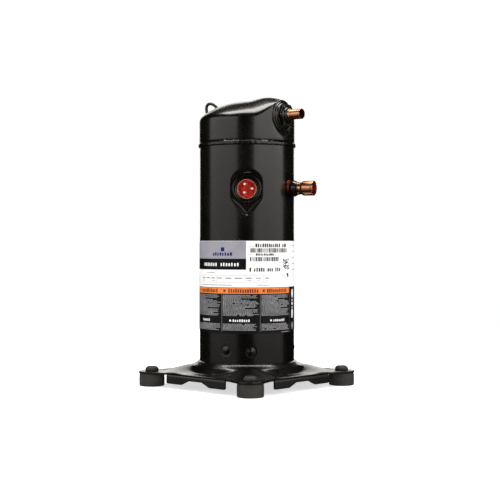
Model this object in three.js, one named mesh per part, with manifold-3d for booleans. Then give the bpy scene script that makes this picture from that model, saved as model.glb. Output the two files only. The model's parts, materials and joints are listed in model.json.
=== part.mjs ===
// Hermetic scroll compressor with a vertical shaft, built as an assembly of separate solids.
// Millimetres, +Z up. Origin: on the shaft axis, in the plane under the four rubber feet.
// Azimuth t points along (sin t, -cos t): 0 is -Y, 90 is +X.
import * as THREE from 'three';
import Module from 'manifold-3d';

const wasm = await Module();
wasm.setup();

// ---------- driving dimensions ----------
const GAP = 0.3;                 // gap kept between touching pieces
const SHELL_R = 67.0;            // shell outside radius
const SHELL_IN = 64.0;           // shell inside radius
const SHELL_Z0 = 30.0;           // bottom edge of the shell tube
const SHELL_Z1 = 337.0;          // top edge of the shell tube
const RIM_R = 68.9;              // separator plate rim, standing proud at the seam
const CAP_R = 67.6;              // cap skirt outside radius
const CAP_Z0 = 343.3;            // bottom edge of the cap skirt
const CAP_SHOULDER = 372.6;      // top of the skirt away from the discharge bulge
const CAP_CROWN = 402.6;         // height at the centre
const CAP_TOP = 405.0;           // overall height
const HOLE = 95.25;              // half of the 190.5 mm mounting square
const EAR_R = 18.6;              // rounded ear around each mounting hole
const PLATE_Z0 = 18.0;           // underside of the ears
const PLATE_T = 3.0;             // base plate gauge
const SIDE_Y = 104.0;            // turned-down flange, outer face from the axis
const FLANGE_Z = 6.4;            // lower edge of the flange
const BOSS_Z = 36.5;             // top of the raised centre of the base plate
const TER_AZ = 42.7, TER_Z = 276.0;   // electrical terminal
const SUC_AZ = 110.0, SUC_Z = 278.0;  // suction fitting
const DIS_AZ = 94.0, DIS_Z = 379.0;   // discharge fitting
const EYE_AZ = -69.0;                 // lifting eye
const SUC_BORE = 9.6;            // socket for a 19.05 mm tube
const DIS_BORE = 6.4;            // socket for a 12.7 mm tube
const ORBIT = 4.0;               // orbit radius of the moving scroll
const PITCH = 14.0;              // scroll wrap pitch
const WRAP_T = 2.6;              // scroll wrap thickness
const WRAP_END = 15.7;           // involute angle at the outer end, radians
const WRAP_START = 2.5;
const PIN_X = ORBIT;             // crank pin offset along +X

// ---------- materials ----------
const mat = (color, roughness, metalness) => new THREE.MeshStandardMaterial({ color, roughness, metalness });
const BLACK = () => mat(0x0b0a09, 0.18, 0.1);
const COPPER = () => mat(0xb8683c, 0.32, 1.0);
const STEEL = () => mat(0x9a9b9c, 0.35, 1.0);
const IRON = () => mat(0x6a6a6a, 0.5, 0.9);
const RUBBER = () => mat(0x2a2724, 0.75, 0.0);
const BRONZE = () => mat(0x9a7b45, 0.4, 0.9);
const ALU = () => mat(0xb9bbbd, 0.4, 0.9);

// ---------- geometry helpers ----------
const rad = (d) => (d * Math.PI) / 180;
const V2 = (x, y) => new THREE.Vector2(x, y);

// welded, with no degenerate triangles, and facing outwards
function clean(g) {
  const src = g.index ? g.toNonIndexed() : g;
  const p = src.attributes.position, cell = new Map(), pts = [], idx = [];
  const Q = 2e-4;
  for (let i = 0; i < p.count; i++) {
    const x = p.getX(i), y = p.getY(i), z = p.getZ(i);
    const a = Math.floor(x / Q), b = Math.floor(y / Q), c = Math.floor(z / Q);
    let hit = -1;
    for (let u = -1; u < 2 && hit < 0; u++) for (let v = -1; v < 2 && hit < 0; v++) for (let w = -1; w < 2 && hit < 0; w++) {
      const k = cell.get(`${a + u},${b + v},${c + w}`);
      if (k !== undefined && Math.hypot(pts[3 * k] - x, pts[3 * k + 1] - y, pts[3 * k + 2] - z) < Q) hit = k;
    }
    if (hit < 0) { hit = pts.length / 3; pts.push(x, y, z); cell.set(`${a},${b},${c}`, hit); }
    idx.push(hit);
  }
  const out = [];
  let vol = 0;
  for (let i = 0; i < idx.length; i += 3) {
    const [a, b, c] = [idx[i], idx[i + 1], idx[i + 2]];
    if (a === b || b === c || c === a) continue;
    out.push(a, b, c);
    const [A, B, C] = [a * 3, b * 3, c * 3];
    vol += pts[A] * (pts[B + 1] * pts[C + 2] - pts[B + 2] * pts[C + 1])
      - pts[A + 1] * (pts[B] * pts[C + 2] - pts[B + 2] * pts[C])
      + pts[A + 2] * (pts[B] * pts[C + 1] - pts[B + 1] * pts[C]);
  }
  if (vol < 0) for (let i = 0; i < out.length; i += 3) [out[i + 1], out[i + 2]] = [out[i + 2], out[i + 1]];
  const h = new THREE.BufferGeometry();
  h.setAttribute('position', new THREE.BufferAttribute(new Float32Array(pts), 3));
  h.setIndex(out);
  return h;
}

function solid(g) {
  const c = clean(g);
  return new wasm.Manifold(new wasm.Mesh({
    numProp: 3,
    vertProperties: new Float32Array(c.attributes.position.array),
    triVerts: new Uint32Array(c.index.array),
  }));
}

function geo(m) {
  const r = m.getMesh();
  const g = new THREE.BufferGeometry();
  g.setAttribute('position', new THREE.BufferAttribute(new Float32Array(r.vertProperties), 3));
  g.setIndex(new THREE.BufferAttribute(new Uint32Array(r.triVerts), 1));
  return g;
}

const cut = (base, ...tools) => geo(tools.reduce((m, t) => m.subtract(solid(t)), solid(base)));
const join = (base, ...parts) => geo(parts.reduce((m, t) => m.add(solid(t)), solid(base)));

// revolve a closed profile of [radius, height] about Z
function lathe(profile, seg = 32) {
  const pts = profile.map(([r, z]) => V2(r, z));
  const first = pts[0], last = pts[pts.length - 1];
  if (first.x > 1e-6 || last.x > 1e-6) pts.push(first.clone());
  return clean(new THREE.LatheGeometry(pts, seg).rotateX(Math.PI / 2));
}
const ring = (r0, r1, z0, z1, seg = 32) => lathe([[r0, z0], [r1, z0], [r1, z1], [r0, z1]], seg);
const disc = (r, z0, z1, seg = 32) => lathe([[0, z0], [r, z0], [r, z1], [0, z1]], seg);
const box = (x0, x1, y0, y1, z0, z1) =>
  new THREE.BoxGeometry(x1 - x0, y1 - y0, z1 - z0).translate((x0 + x1) / 2, (y0 + y1) / 2, (z0 + z1) / 2);
const extrude = (shape, z0, z1, curveSegments = 12) =>
  new THREE.ExtrudeGeometry(shape, { depth: z1 - z0, bevelEnabled: false, steps: 1, curveSegments }).translate(0, 0, z0);

// local +Z becomes the outward radial direction at azimuth t, local +Y stays up
function radial(g, t, z) {
  const s = Math.sin(rad(t)), c = Math.cos(rad(t));
  const m = new THREE.Matrix4().makeBasis(new THREE.Vector3(c, s, 0), new THREE.Vector3(0, 0, 1), new THREE.Vector3(s, -c, 0));
  m.setPosition(0, 0, z);
  return g.clone().applyMatrix4(m);
}
const at = (g, x, y, z = 0) => g.clone().translate(x, y, z);

// round bar along a smooth path
function bar(points, r, steps, sides = 8) {
  const shape = new THREE.Shape();
  for (let i = 0; i < sides; i++) {
    const a = (2 * Math.PI * i) / sides;
    if (i === 0) shape.moveTo(r, 0); else shape.lineTo(r * Math.cos(a), r * Math.sin(a));
  }
  const path = new THREE.CatmullRomCurve3(points.map((p) => new THREE.Vector3(...p)));
  return new THREE.ExtrudeGeometry(shape, { steps, extrudePath: path, bevelEnabled: false });
}

const group = new THREE.Group();
function add(name, geometry, material) {
  const mesh = new THREE.Mesh(clean(geometry), material);
  mesh.name = name;
  group.add(mesh);
  return mesh;
}

// ---------- pressure shell ----------
const termHole = radial(disc(20.3, 50, 80, 24), TER_AZ, TER_Z);
const sucHole = radial(disc(9.7, 50, 80, 18), SUC_AZ, SUC_Z);
add('shell_tube', cut(ring(SHELL_IN, SHELL_R, SHELL_Z0, SHELL_Z1, 40), termHole, sucHole), BLACK());

add('lower_shell', lathe([
  [0, 11], [30, 12], [50, 16.5], [60, 23], [63.7, 32], [63.7, 44],
  [60.9, 44], [60.9, 32.5], [57.5, 25.5], [48.5, 19.4], [0, 14],
], 40), BLACK());

// Separator plate between the suction and discharge sides; its rim shows as the seam.
add('separator_plate', cut(lathe([
  [10, 356], [40, 356], [60, 341], [61, 337.3], [RIM_R, 337.3], [RIM_R, 343],
  [64.5, 343], [62.5, 343.6], [41.5, 360], [10, 360],
], 36), at(disc(5.4, 350, 366, 12), 0, -30)), BLACK());

// Cap: a skirt whose shoulder rises into a bulge on the discharge side.
const bulge = (t) => {
  const d = Math.abs(((t - DIS_AZ + 540) % 360) - 180);
  const k = Math.min(1, Math.max(0, (44 - d) / 40));
  return k * k * (3 - 2 * k);
};
// Rise of the crown from the shoulder to the centre, against distance in from the skirt.
const RISE = [[0, 0], [0.003, 0.065], [0.01, 0.12], [0.025, 0.185], [0.05, 0.255], [0.1, 0.35], [0.23, 0.53], [0.355, 0.665], [0.5, 0.79], [0.734, 0.92], [1, 1]];
const rise = (s) => {
  for (let i = 1; i < RISE.length; i++) {
    const [a, u] = RISE[i - 1], [b, v] = RISE[i];
    if (s <= b) return u + ((v - u) * (s - a)) / (b - a);
  }
  return 1;
};
function capBody(inset, zlow) {
  // close the skin at the skirt's lower edge with a flat disc
  const R = CAP_R - inset, seg = 40;
  const stops = [0.17, 0.4, 0.6, 0.77, 0.9, 0.975, 1], rings = stops.length;
  const pts = [V2(0, 0)];
  for (let i = 0; i < rings; i++) pts.push(V2(R * stops[i], i));
  pts.push(V2(R, 100), V2(0, 101));
  const g = new THREE.LatheGeometry(pts, seg).rotateX(Math.PI / 2);
  const p = g.attributes.position;
  for (let i = 0; i < p.count; i++) {
    const tag = p.getZ(i);
    if (tag > 99) { p.setZ(i, zlow); continue; }
    const x = p.getX(i), y = p.getY(i), r = Math.hypot(x, y);
    const t = (Math.atan2(x, -y) * 180) / Math.PI, b = bulge(t);
    const d = Math.abs(((t - DIS_AZ + 540) % 360) - 180), w = Math.min(1, Math.max(0, (78 - d) / 74));
    const hump = 4.2 * w * w * (3 - 2 * w) * Math.min(1, r / 14) * Math.exp(-(((r - 38) / 24) ** 2));
    const shoulder = CAP_SHOULDER + 23.2 * b;
    const z = shoulder + (CAP_CROWN - shoulder) * rise(1 - r / R) + hump;
    p.setZ(i, Math.min(z, CAP_TOP) - inset);
  }
  return clean(g);
}
const disHole = radial(disc(8.4, 40, 90, 16), DIS_AZ, DIS_Z);
const disLand = radial(disc(20.0, 63.5, 90, 24), DIS_AZ, DIS_Z);
add('top_cap', cut(capBody(0, CAP_Z0), capBody(3.2, CAP_Z0 - 5), disHole, disLand), BLACK());

// ---------- base plate and feet ----------
const lobe = (t) => {   // outer edge of the raised centre: long towards the ears, short at mid-side
  const d = Math.abs((((t % 90) + 90) % 90) - 45);
  const k = Math.max(0, 1 - d / 30);
  return 82 + 31 * k * k * (3 - 2 * k);
};
{
  const outline = new THREE.Shape();
  const corner = (sx, sy, flip) => {
    const pts = [[60, SIDE_Y], [70, SIDE_Y + 1.2], [78, SIDE_Y + 5.2]];
    for (let a = 112; a >= -22.01; a -= 16.75) pts.push([HOLE + EAR_R * Math.cos(rad(a)), HOLE + EAR_R * Math.sin(rad(a))]);
    pts.push([SIDE_Y + 5.2, 78], [SIDE_Y + 1.2, 70], [SIDE_Y, 60]);
    const q = pts.map(([x, y]) => [sx * x, sy * y]);
    return flip ? q.reverse() : q;
  };
  const all = [...corner(1, 1, false), ...corner(1, -1, true), ...corner(-1, -1, false), ...corner(-1, 1, true)].reverse();
  all.forEach(([x, y], i) => (i ? outline.lineTo(x, y) : outline.moveTo(x, y)));
  for (const [sx, sy] of [[1, 1], [1, -1], [-1, -1], [-1, 1]]) {
    const h = new THREE.Path();
    for (let i = 0; i < 16; i++) {
      const a = (-2 * Math.PI * i) / 16;
      const x = sx * HOLE + 8.2 * Math.cos(a), y = sy * HOLE + 8.2 * Math.sin(a);
      if (i) h.lineTo(x, y); else h.moveTo(x, y);
    }
    outline.holes.push(h);
  }
  const centre = new THREE.Path();
  for (let i = 0; i < 48; i++) {
    const t = (-360 * i) / 48, r = lobe(t) - 2;
    const x = r * Math.cos(rad(t)), y = r * Math.sin(rad(t));
    if (i) centre.lineTo(x, y); else centre.moveTo(x, y);
  }
  outline.holes.push(centre);
  const flat = extrude(outline, PLATE_Z0, PLATE_Z0 + PLATE_T);
  // raised centre, as a ring whose outer edge follows the lobes
  const prof = [[67.3, BOSS_Z - 4], [67.3, BOSS_Z], [69.6, BOSS_Z], [72, BOSS_Z - 3], [100, PLATE_Z0 + PLATE_T], [101, PLATE_Z0], [72.4, BOSS_Z - 7.5]];
  const boss = new THREE.LatheGeometry([...prof.map(([r, z]) => V2(r, z)), V2(...prof[0])], 48).rotateX(Math.PI / 2);
  const p = boss.attributes.position;
  for (let i = 0; i < p.count; i++) {
    const x = p.getX(i), y = p.getY(i), r = Math.hypot(x, y);
    if (r > 90) {
      const t = (Math.atan2(y, x) * 180) / Math.PI, q = lobe(t) / r;
      p.setX(i, x * q); p.setY(i, y * q);
    }
  }
  const flange = new THREE.Shape();
  [[-56.5, PLATE_Z0 + 1], [-56.5, FLANGE_Z + 3], [-53, FLANGE_Z], [-27.5, FLANGE_Z + 0.6], [-13, FLANGE_Z + 6.4], [13, FLANGE_Z + 6.4],
    [27.5, FLANGE_Z + 0.6], [53, FLANGE_Z], [56.5, FLANGE_Z + 3], [56.5, PLATE_Z0 + 1]]
    .forEach(([x, z], i) => (i ? flange.lineTo(x, z) : flange.moveTo(x, z)));
  const f = extrude(flange, 0, PLATE_T).rotateX(Math.PI / 2);   // faces -Y
  const sides = [0, 90, 180, 270].map((d) => f.clone().translate(0, -SIDE_Y + PLATE_T, 0).rotateZ(rad(d)));
  add('base_plate', join(flat, boss, ...sides), BLACK());
}
const grommet = lathe([
  [5, 0], [17, 0], [18, 1.2], [18, 16.2], [16.8, 17.7], [7.7, 17.7], [7.7, 21.3], [9.25, 21.3], [9.25, 25], [7.5, 27.6], [5, 27.6],
], 16);
add('rubber_foot_front', at(grommet, HOLE, -HOLE), RUBBER());
add('rubber_foot_right', at(grommet, HOLE, HOLE), RUBBER());
add('rubber_foot_back', at(grommet, -HOLE, HOLE), RUBBER());
add('rubber_foot_left', at(grommet, -HOLE, -HOLE), RUBBER());

// ---------- suction fitting ----------
add('suction_collar', radial(lathe([
  [8.8, 58], [9.3, 58], [9.3, 67.2], [11.4, 71], [11.4, 73.4], [9.2, 77.6], [8.8, 77.6],
], 20), SUC_AZ, SUC_Z), BLACK());
add('suction_stub', radial(lathe([
  [7.4, 55], [8.5, 55], [8.5, 83.4], [10.35, 87], [10.35, 101.7], [SUC_BORE, 101.7], [SUC_BORE, 87.2], [7.4, 84.4],
], 20), SUC_AZ, SUC_Z), COPPER());
// ---------- discharge fitting ----------
add('discharge_fitting', radial(lathe([
  [8.0, 56], [8.0, 63.8], [19.4, 63.8], [19.2, 65.6], [17.2, 66.2], [16.6, 68.8], [15.9, 69.2], [15.9, 71.8], [12.4, 72.4], [10.4, 73.6], [10.2, 75.6], [8.6, 76.4], [7.5, 76.4], [7.5, 56],
], 18), DIS_AZ, DIS_Z), BLACK());
add('discharge_stub', radial(lathe([
  [DIS_BORE, 52], [7.1, 52], [7.1, 76.8], [8.3, 77], [8.3, 78.6], [7.1, 79.4], [7.1, 97], [DIS_BORE, 97],
], 20), DIS_AZ, DIS_Z), COPPER());
// ---------- electrical terminal ----------
add('terminal_cup', radial(lathe([
  [13.8, 57.5], [18, 57.5], [20, 59.5], [20, 66], [18.6, 66], [17, 61], [15.5, 59.6], [13.8, 59.6],
], 22), TER_AZ, TER_Z), BLACK());
const PINS = [[-3.0, 6.5], [7.4, 0.3], [-3.2, -5.2]];
add('terminal_glass', cut(radial(disc(13.4, 57.5, 60.2, 22), TER_AZ, TER_Z),
  ...PINS.map(([u, v]) => radial(at(disc(1.95, 50, 70, 10), u, v), TER_AZ, TER_Z))), mat(0x8a1a10, 0.25, 0.0));
PINS.forEach(([u, v], i) => add(`terminal_pin_${'csr'[i]}`,
  radial(at(lathe([[0, 50.6], [1.55, 50.6], [1.55, 65.4], [0.8, 66.2], [0, 66.2]], 10), u, v), TER_AZ, TER_Z), COPPER()));
add('terminal_plug', radial(box(-11.5, 11.5, -10.5, 10.5, 41.5, 50.2), TER_AZ, TER_Z), mat(0x2b2b2e, 0.6, 0.0));
const place = (t, r, z) => [r * Math.sin(rad(t)), -r * Math.cos(rad(t)), z];
[['c', -6, 1], ['s', 0, 0], ['r', 6, -1]].forEach(([n, u], i) => {
  const t = TER_AZ + (u / 46) * 57.3, e = TER_AZ + (i - 1) * 16;
  add(`motor_lead_${n}`, bar([place(t, 46, 265.2), place(t, 46.5, 258), place((t + e) / 2, 51, 242), place(e, 51, 222), place(e, 50, 202.4)], 1.7, 12, 8),
    mat([0x222222, 0x8f1d16, 0xc9b53a][i], 0.5, 0.0));
});
// ---------- lifting eye ----------
add('lifting_eye', bar([place(EYE_AZ, 61.4, 384.8), place(EYE_AZ, 62.4, 390), place(EYE_AZ, 63, 396), place(EYE_AZ, 61.4, 400.6),
  place(EYE_AZ, 57.6, 402), place(EYE_AZ, 53.6, 401.2), place(EYE_AZ, 49.4, 398.4), place(EYE_AZ, 46, 394.8)], 1.8, 18, 8), BLACK());

// ---------- labels: thin curved sheets on the shell ----------
function wrapSheet(t0, t1, z0, z1, r0, r1) {
  const n = Math.ceil((t1 - t0) / 6), s = new THREE.Shape(), pts = [];
  for (let i = 0; i <= n; i++) { const t = t0 + ((t1 - t0) * i) / n; pts.push([r1 * Math.sin(rad(t)), -r1 * Math.cos(rad(t))]); }
  for (let i = n; i >= 0; i--) { const t = t0 + ((t1 - t0) * i) / n; pts.push([r0 * Math.sin(rad(t)), -r0 * Math.cos(rad(t))]); }
  pts.forEach(([x, y], i) => (i ? s.lineTo(x, y) : s.moveTo(x, y)));
  return extrude(s, z0, z1);
}
add('upper_label', wrapSheet(-52, 128, 141.3, 205, 67.35, 67.65), mat(0xd9d9de, 0.4, 0.0));
add('lower_label', wrapSheet(-52, 118, 77.5, 141, 67.35, 67.65), mat(0xe6e6e6, 0.4, 0.0));

// ---------- scroll set ----------
// closed band along the involute of a circle
function wrapShape(start, end, turn, t = WRAP_T) {
  const a = PITCH / (2 * Math.PI), al = t / 2 / a, s = new THREE.Shape(), n = Math.ceil((end - start) / rad(11));
  const pt = (phi, shift) => {
    const q = phi + turn;
    const k = phi + shift;       // wall is the involute whose string is longer or shorter by t/2
    return [a * (Math.cos(q) + k * Math.sin(q)), a * (Math.sin(q) - k * Math.cos(q))];
  };
  const pts = [];
  for (let i = 0; i <= n; i++) pts.push(pt(start + ((end - start) * i) / n, al));
  for (let i = n; i >= 0; i--) pts.push(pt(start + ((end - start) * i) / n, -al));
  pts.forEach(([x, y], i) => (i ? s.lineTo(x, y) : s.moveTo(x, y)));
  return s;
}
// fixed scroll: plate, ring wall, wrap, flange and the annular chamber on top
{
  const body = lathe([
    [6, 336], [41, 336], [41, 316], [52, 316], [52, 318], [62.8, 318], [62.8, 328], [52, 328], [50, 336], [50, 346],
    [42, 346], [41.6, 341], [15.2, 341], [14.8, 346], [6, 346],
  ], 32);
  const wrap = extrude(wrapShape(WRAP_START, WRAP_END + 0.9, Math.PI), 316.3, 336.5);
  const holes = [45, 135, 225, 315].map((t) => at(disc(6.1, 310, 335, 12), 57.2 * Math.cos(rad(t)), 57.2 * Math.sin(rad(t))));
  const windows = [box(-13, 13, 36, 56, 316 - 1, 328), box(-13, 13, -56, -36, 316 - 1, 328)];
  add('fixed_scroll', geo(solid(cut(body, ...windows, ...holes)).add(solid(wrap))), IRON());
}
{
  const plate = lathe([[0, 308], [14.3, 308], [14.3, 288], [17, 288], [17, 308], [47, 308], [47, 315.7], [0, 315.7]], 32);
  const wrap = extrude(wrapShape(WRAP_START, WRAP_END, 0), 315, 335.6);
  const slots = [box(-4.4, 4.4, 36.4, 50, 300, 312.3), box(-4.4, 4.4, -50, -36.4, 300, 312.3)];
  add('orbiting_scroll', at(cut(join(plate, wrap), ...slots), PIN_X, 0), IRON());
}
add('oldham_ring', at(join(ring(38, 47, 300.3, 304.8, 28),
  box(-4, 4, 41, 46.5, 304, 311.5), box(-4, 4, -46.5, -41, 304, 311.5),
  box(41, 46.5, -4, 4, 296, 301), box(-46.5, -41, -4, 4, 296, 301)), ORBIT, 0), ALU());
add('thrust_washer', at(ring(21.5, 34, 305.3, 307.6, 24), ORBIT / 2, 0), STEEL());
add('main_bearing_housing', cut(lathe([
  [15.3, 240], [24, 240], [26, 244], [28, 284], [50, 289], [52, 298], [63.7, 298], [63.7, 314], [52, 314], [52, 300],
  [33, 300], [33, 305], [22.6, 305], [22.6, 284.6], [15.3, 284.6],
], 32), ...[45, 135, 225, 315].map((t) => at(disc(4.4, 303, 316, 12), 57.2 * Math.cos(rad(t)), 57.2 * Math.sin(rad(t)))),
box(36.4, 51.2, -4.4, 4.4, 295, 301), box(-51.2, -36.4, -4.4, 4.4, 295, 301)), IRON());
for (const [i, t] of [45, 135, 225, 315].entries()) {
  const x = 57.2 * Math.cos(rad(t)), y = 57.2 * Math.sin(rad(t));
  add(`guide_bolt_${i + 1}`, at(lathe([[0, 303.4], [4, 303.4], [4, 330.6], [5.8, 330.6], [5.8, 335.4], [0, 335.4]], 8), x, y), STEEL());
  add(`guide_sleeve_${i + 1}`, at(ring(4.4, 5.7, 314.3, 330.3, 12), x, y), STEEL());
}
add('floating_seal_lower', lathe([
  [15.6, 342.2], [41.0, 342.2], [41.4, 345.6], [15.4, 345.6]], 24), ALU());
add('floating_seal_upper', lathe([
  [18, 345.9], [38, 345.9], [38, 349.6], [21.5, 350.4], [21, 354], [19, 354]], 24), IRON());
add('discharge_valve_disc', disc(13, 360.4, 361.6, 24), STEEL());
add('valve_retainer', cut(lathe([
  [15, 360.3], [20, 360.3], [20, 362], [17, 362.4], [16, 369], [5, 369], [5, 366.6], [14.2, 366.2]], 20),
box(-4, 4, -30, -8, 362.6, 366), box(-4, 4, 8, 30, 362.6, 366)), STEEL());
add('pressure_relief_valve', at(lathe([[0, 353], [4.8, 353], [4.8, 360.4], [7, 360.4], [7, 366], [5.5, 368], [0, 368]], 12), 0, -30), BRONZE());

// ---------- shaft, bearings and motor ----------
add('main_bearing_bush', ring(12.9, 15, 241, 282, 20), BRONZE());
{
  const pin = cut(at(disc(8, 283, 305.6, 20), PIN_X, 0), box(-10, 20, 6.4, 12, 280, 310), box(-10, 20, -12, -6.4, 280, 310));
  const shaft = lathe([
    [0, 42], [8, 42], [8, 64], [11, 65], [11, 236], [12.5, 238], [12.5, 283.6], [0, 283.6]], 20);
  add('crankshaft', join(shaft, pin), STEEL());
}
{
  const outer = disc(11.5, 286, 305.2, 20);
  const bore = cut(at(disc(8.4, 280, 310, 20), 0, 0), box(-20, 20, 6.7, 12, 270, 320), box(-20, 20, -12, -6.7, 270, 320));
  const bore2 = at(bore, 0.5, 0);
  add('drive_bushing', at(cut(outer, bore, bore2), PIN_X, 0), STEEL());
}
add('drive_bearing', at(ring(11.9, 14.0, 288.4, 305.4, 20), PIN_X, 0), BRONZE());
{
  const half = (r0, r1, z0, z1) => cut(ring(r0, r1, z0, z1, 24), box(0, 80, -80, 80, z0 - 5, z1 + 5));
  const hub = ring(11.4, 17, 214, 230, 20);
  add('upper_counterweight', join(hub, half(12.1, 40, 216, 228)), IRON());
  add('lower_counterweight', half(14, 32, 70, 81.5).clone().rotateZ(Math.PI), BRONZE());
}
add('rotor_core', ring(11.3, 33.2, 90, 170, 28), IRON());
add('rotor_end_ring_upper', ring(22, 32, 170.3, 178, 18), ALU());
add('rotor_end_ring_lower', ring(22, 32, 82, 89.7, 18), ALU());
{
  // bore with six slot mouths
  const tools = [];
  for (let i = 0; i < 12; i++) tools.push(box(33, 53, -3, 3, 80, 180).rotateZ(rad(30 * i)));
  add('stator_core', cut(ring(34.2, 63.7, 90, 170, 36), ...tools), IRON());
}
add('stator_winding_upper', lathe([[38, 170.3], [57, 170.3], [58.5, 176], [58, 195], [54, 201], [44, 201.5], [39, 196]], 24), mat(0xa4562b, 0.45, 0.6));
add('stator_winding_lower', lathe([[38, 89.7], [39, 70], [44, 65], [54, 65.4], [58, 70], [58.5, 84], [57, 89.7]], 24), mat(0xa4562b, 0.45, 0.6));
add('motor_protector', radial(box(-11, 11, 202, 209, 43, 55), 200, 0), mat(0x1c1c20, 0.5, 0.0));
{
  const hub = lathe([[10.6, 40], [17, 40], [20, 50], [20, 56], [16, 61], [10.6, 61]], 20);
  const arms = [0, 120, 240].map((d) => box(15, 62.7, -9, 9, 50.5, 56).rotateZ(rad(d + 27)));
  add('lower_bearing_bracket', join(hub, ...arms), STEEL());
}
add('lower_bearing_bush', ring(8.3, 10.3, 41, 60, 18), BRONZE());
add('oil_pickup', lathe([[2.2, 20], [3.4, 20], [5.5, 34], [6.6, 41.6], [5.2, 41.6], [4.2, 34]], 12), STEEL());
add('suction_baffle', wrapSheet(SUC_AZ - 19, SUC_AZ + 19, 258, 294, 51.2, 52.4), STEEL());

export default group;
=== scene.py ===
import json
import math
import random

import bmesh
import bpy
import numpy as np
from mathutils import Matrix, Vector


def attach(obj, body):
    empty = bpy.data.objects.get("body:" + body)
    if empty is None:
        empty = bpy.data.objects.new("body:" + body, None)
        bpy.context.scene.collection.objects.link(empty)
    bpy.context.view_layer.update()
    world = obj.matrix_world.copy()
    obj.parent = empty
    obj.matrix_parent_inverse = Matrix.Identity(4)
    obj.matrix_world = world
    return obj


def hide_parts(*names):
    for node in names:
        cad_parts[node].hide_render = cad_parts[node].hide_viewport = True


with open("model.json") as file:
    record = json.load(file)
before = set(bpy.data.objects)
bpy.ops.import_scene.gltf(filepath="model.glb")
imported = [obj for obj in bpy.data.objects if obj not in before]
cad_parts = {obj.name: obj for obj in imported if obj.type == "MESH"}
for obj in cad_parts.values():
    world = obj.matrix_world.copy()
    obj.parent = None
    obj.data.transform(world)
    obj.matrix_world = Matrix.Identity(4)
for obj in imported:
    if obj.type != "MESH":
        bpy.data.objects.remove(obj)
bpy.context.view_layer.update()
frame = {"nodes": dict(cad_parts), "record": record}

MM = 0.001
rng = random.Random(11)
RECORD = frame["record"]


def rad(d):
    return math.radians(d)


# ------------------------------------------------------------------ sizes, mm
SHELL_R, SHELL_IN = 67.0, 64.0
CAP_R, RIM_R = 67.6, 68.9
TER = (42.7, 276.0)
SUC = (110.0, 278.0)
DIS = (94.0, 379.0)
EYE_AZ = -69.0
VIEW_AZ = 43.1


def smooth(k):
    k = min(1.0, max(0.0, k))
    return k * k * (3 - 2 * k)


# ------------------------------------------------------------------ camera
cam_data = bpy.data.cameras.new("camera")
cam = bpy.data.objects.new("camera", cam_data)
bpy.context.scene.collection.objects.link(cam)
cam.location = (1.700 * math.sin(rad(VIEW_AZ)), -1.700 * math.cos(rad(VIEW_AZ)), 0.199)
cam.rotation_euler = (rad(90), 0, rad(VIEW_AZ))
cam_data.sensor_width = 36.0
cam_data.lens = 1196.0 / 500.0 * 36.0
cam_data.shift_x = 3.0 / 500.0
cam_data.shift_y = -5.0 / 500.0
cam_data.clip_end = 60.0
bpy.context.scene.camera = cam


# ------------------------------------------------------------------ materials
def principled(name):
    m = bpy.data.materials.new(name)
    m.use_nodes = True
    nt = m.node_tree
    b = nt.nodes["Principled BSDF"]
    return m, nt, b


def node(nt, kind, **props):
    n = nt.nodes.new(kind)
    for k, v in props.items():
        setattr(n, k, v)
    return n


def coords(nt, scale=(1, 1, 1)):
    tc = node(nt, "ShaderNodeTexCoord")
    mp = node(nt, "ShaderNodeMapping")
    mp.inputs["Scale"].default_value = scale
    nt.links.new(tc.outputs["Object"], mp.inputs["Vector"])
    return mp.outputs["Vector"]


def noise(nt, vec, scale, detail=4.0, rough=0.55, dist=0.0):
    n = node(nt, "ShaderNodeTexNoise")
    n.inputs["Scale"].default_value = scale
    n.inputs["Detail"].default_value = detail
    n.inputs["Roughness"].default_value = rough
    n.inputs["Distortion"].default_value = dist
    nt.links.new(vec, n.inputs["Vector"])
    return n.outputs["Fac"]


def ramp(nt, fac, stops):
    r = node(nt, "ShaderNodeValToRGB")
    e = r.color_ramp.elements
    while len(e) < len(stops):
        e.new(0.5)
    for i, (p, c) in enumerate(stops):
        e[i].position = p
        e[i].color = (*c, 1.0) if len(c) == 3 else c
    nt.links.new(fac, r.inputs["Fac"])
    return r.outputs["Color"]


def span(nt, fac, lo, hi, a=0.0, b=1.0):
    r = node(nt, "ShaderNodeMapRange")
    r.inputs["From Min"].default_value = a
    r.inputs["From Max"].default_value = b
    r.inputs["To Min"].default_value = lo
    r.inputs["To Max"].default_value = hi
    nt.links.new(fac, r.inputs["Value"])
    return r.outputs["Result"]


def mix(nt, fac, a, b, mode="MIX"):
    m = node(nt, "ShaderNodeMix", data_type="RGBA", blend_type=mode)
    if isinstance(fac, float):
        m.inputs["Factor"].default_value = fac
    else:
        nt.links.new(fac, m.inputs["Factor"])
    for sock, v in ((m.inputs[6], a), (m.inputs[7], b)):
        if isinstance(v, tuple):
            sock.default_value = (*v, 1.0)
        else:
            nt.links.new(v, sock)
    return m.outputs[2]


def math_node(nt, op, a, b=None):
    m = node(nt, "ShaderNodeMath", operation=op)
    for i, v in enumerate((a, b)):
        if v is None:
            continue
        if isinstance(v, (int, float)):
            m.inputs[i].default_value = v
        else:
            nt.links.new(v, m.inputs[i])
    return m.outputs[0]


def bump(nt, bsdf, height, strength, distance, after=None):
    b = node(nt, "ShaderNodeBump")
    b.inputs["Strength"].default_value = strength
    b.inputs["Distance"].default_value = distance
    nt.links.new(height, b.inputs["Height"])
    if after is not None:
        nt.links.new(after, b.inputs["Normal"])
    nt.links.new(b.outputs["Normal"], bsdf.inputs["Normal"])
    return b.outputs["Normal"]


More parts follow.
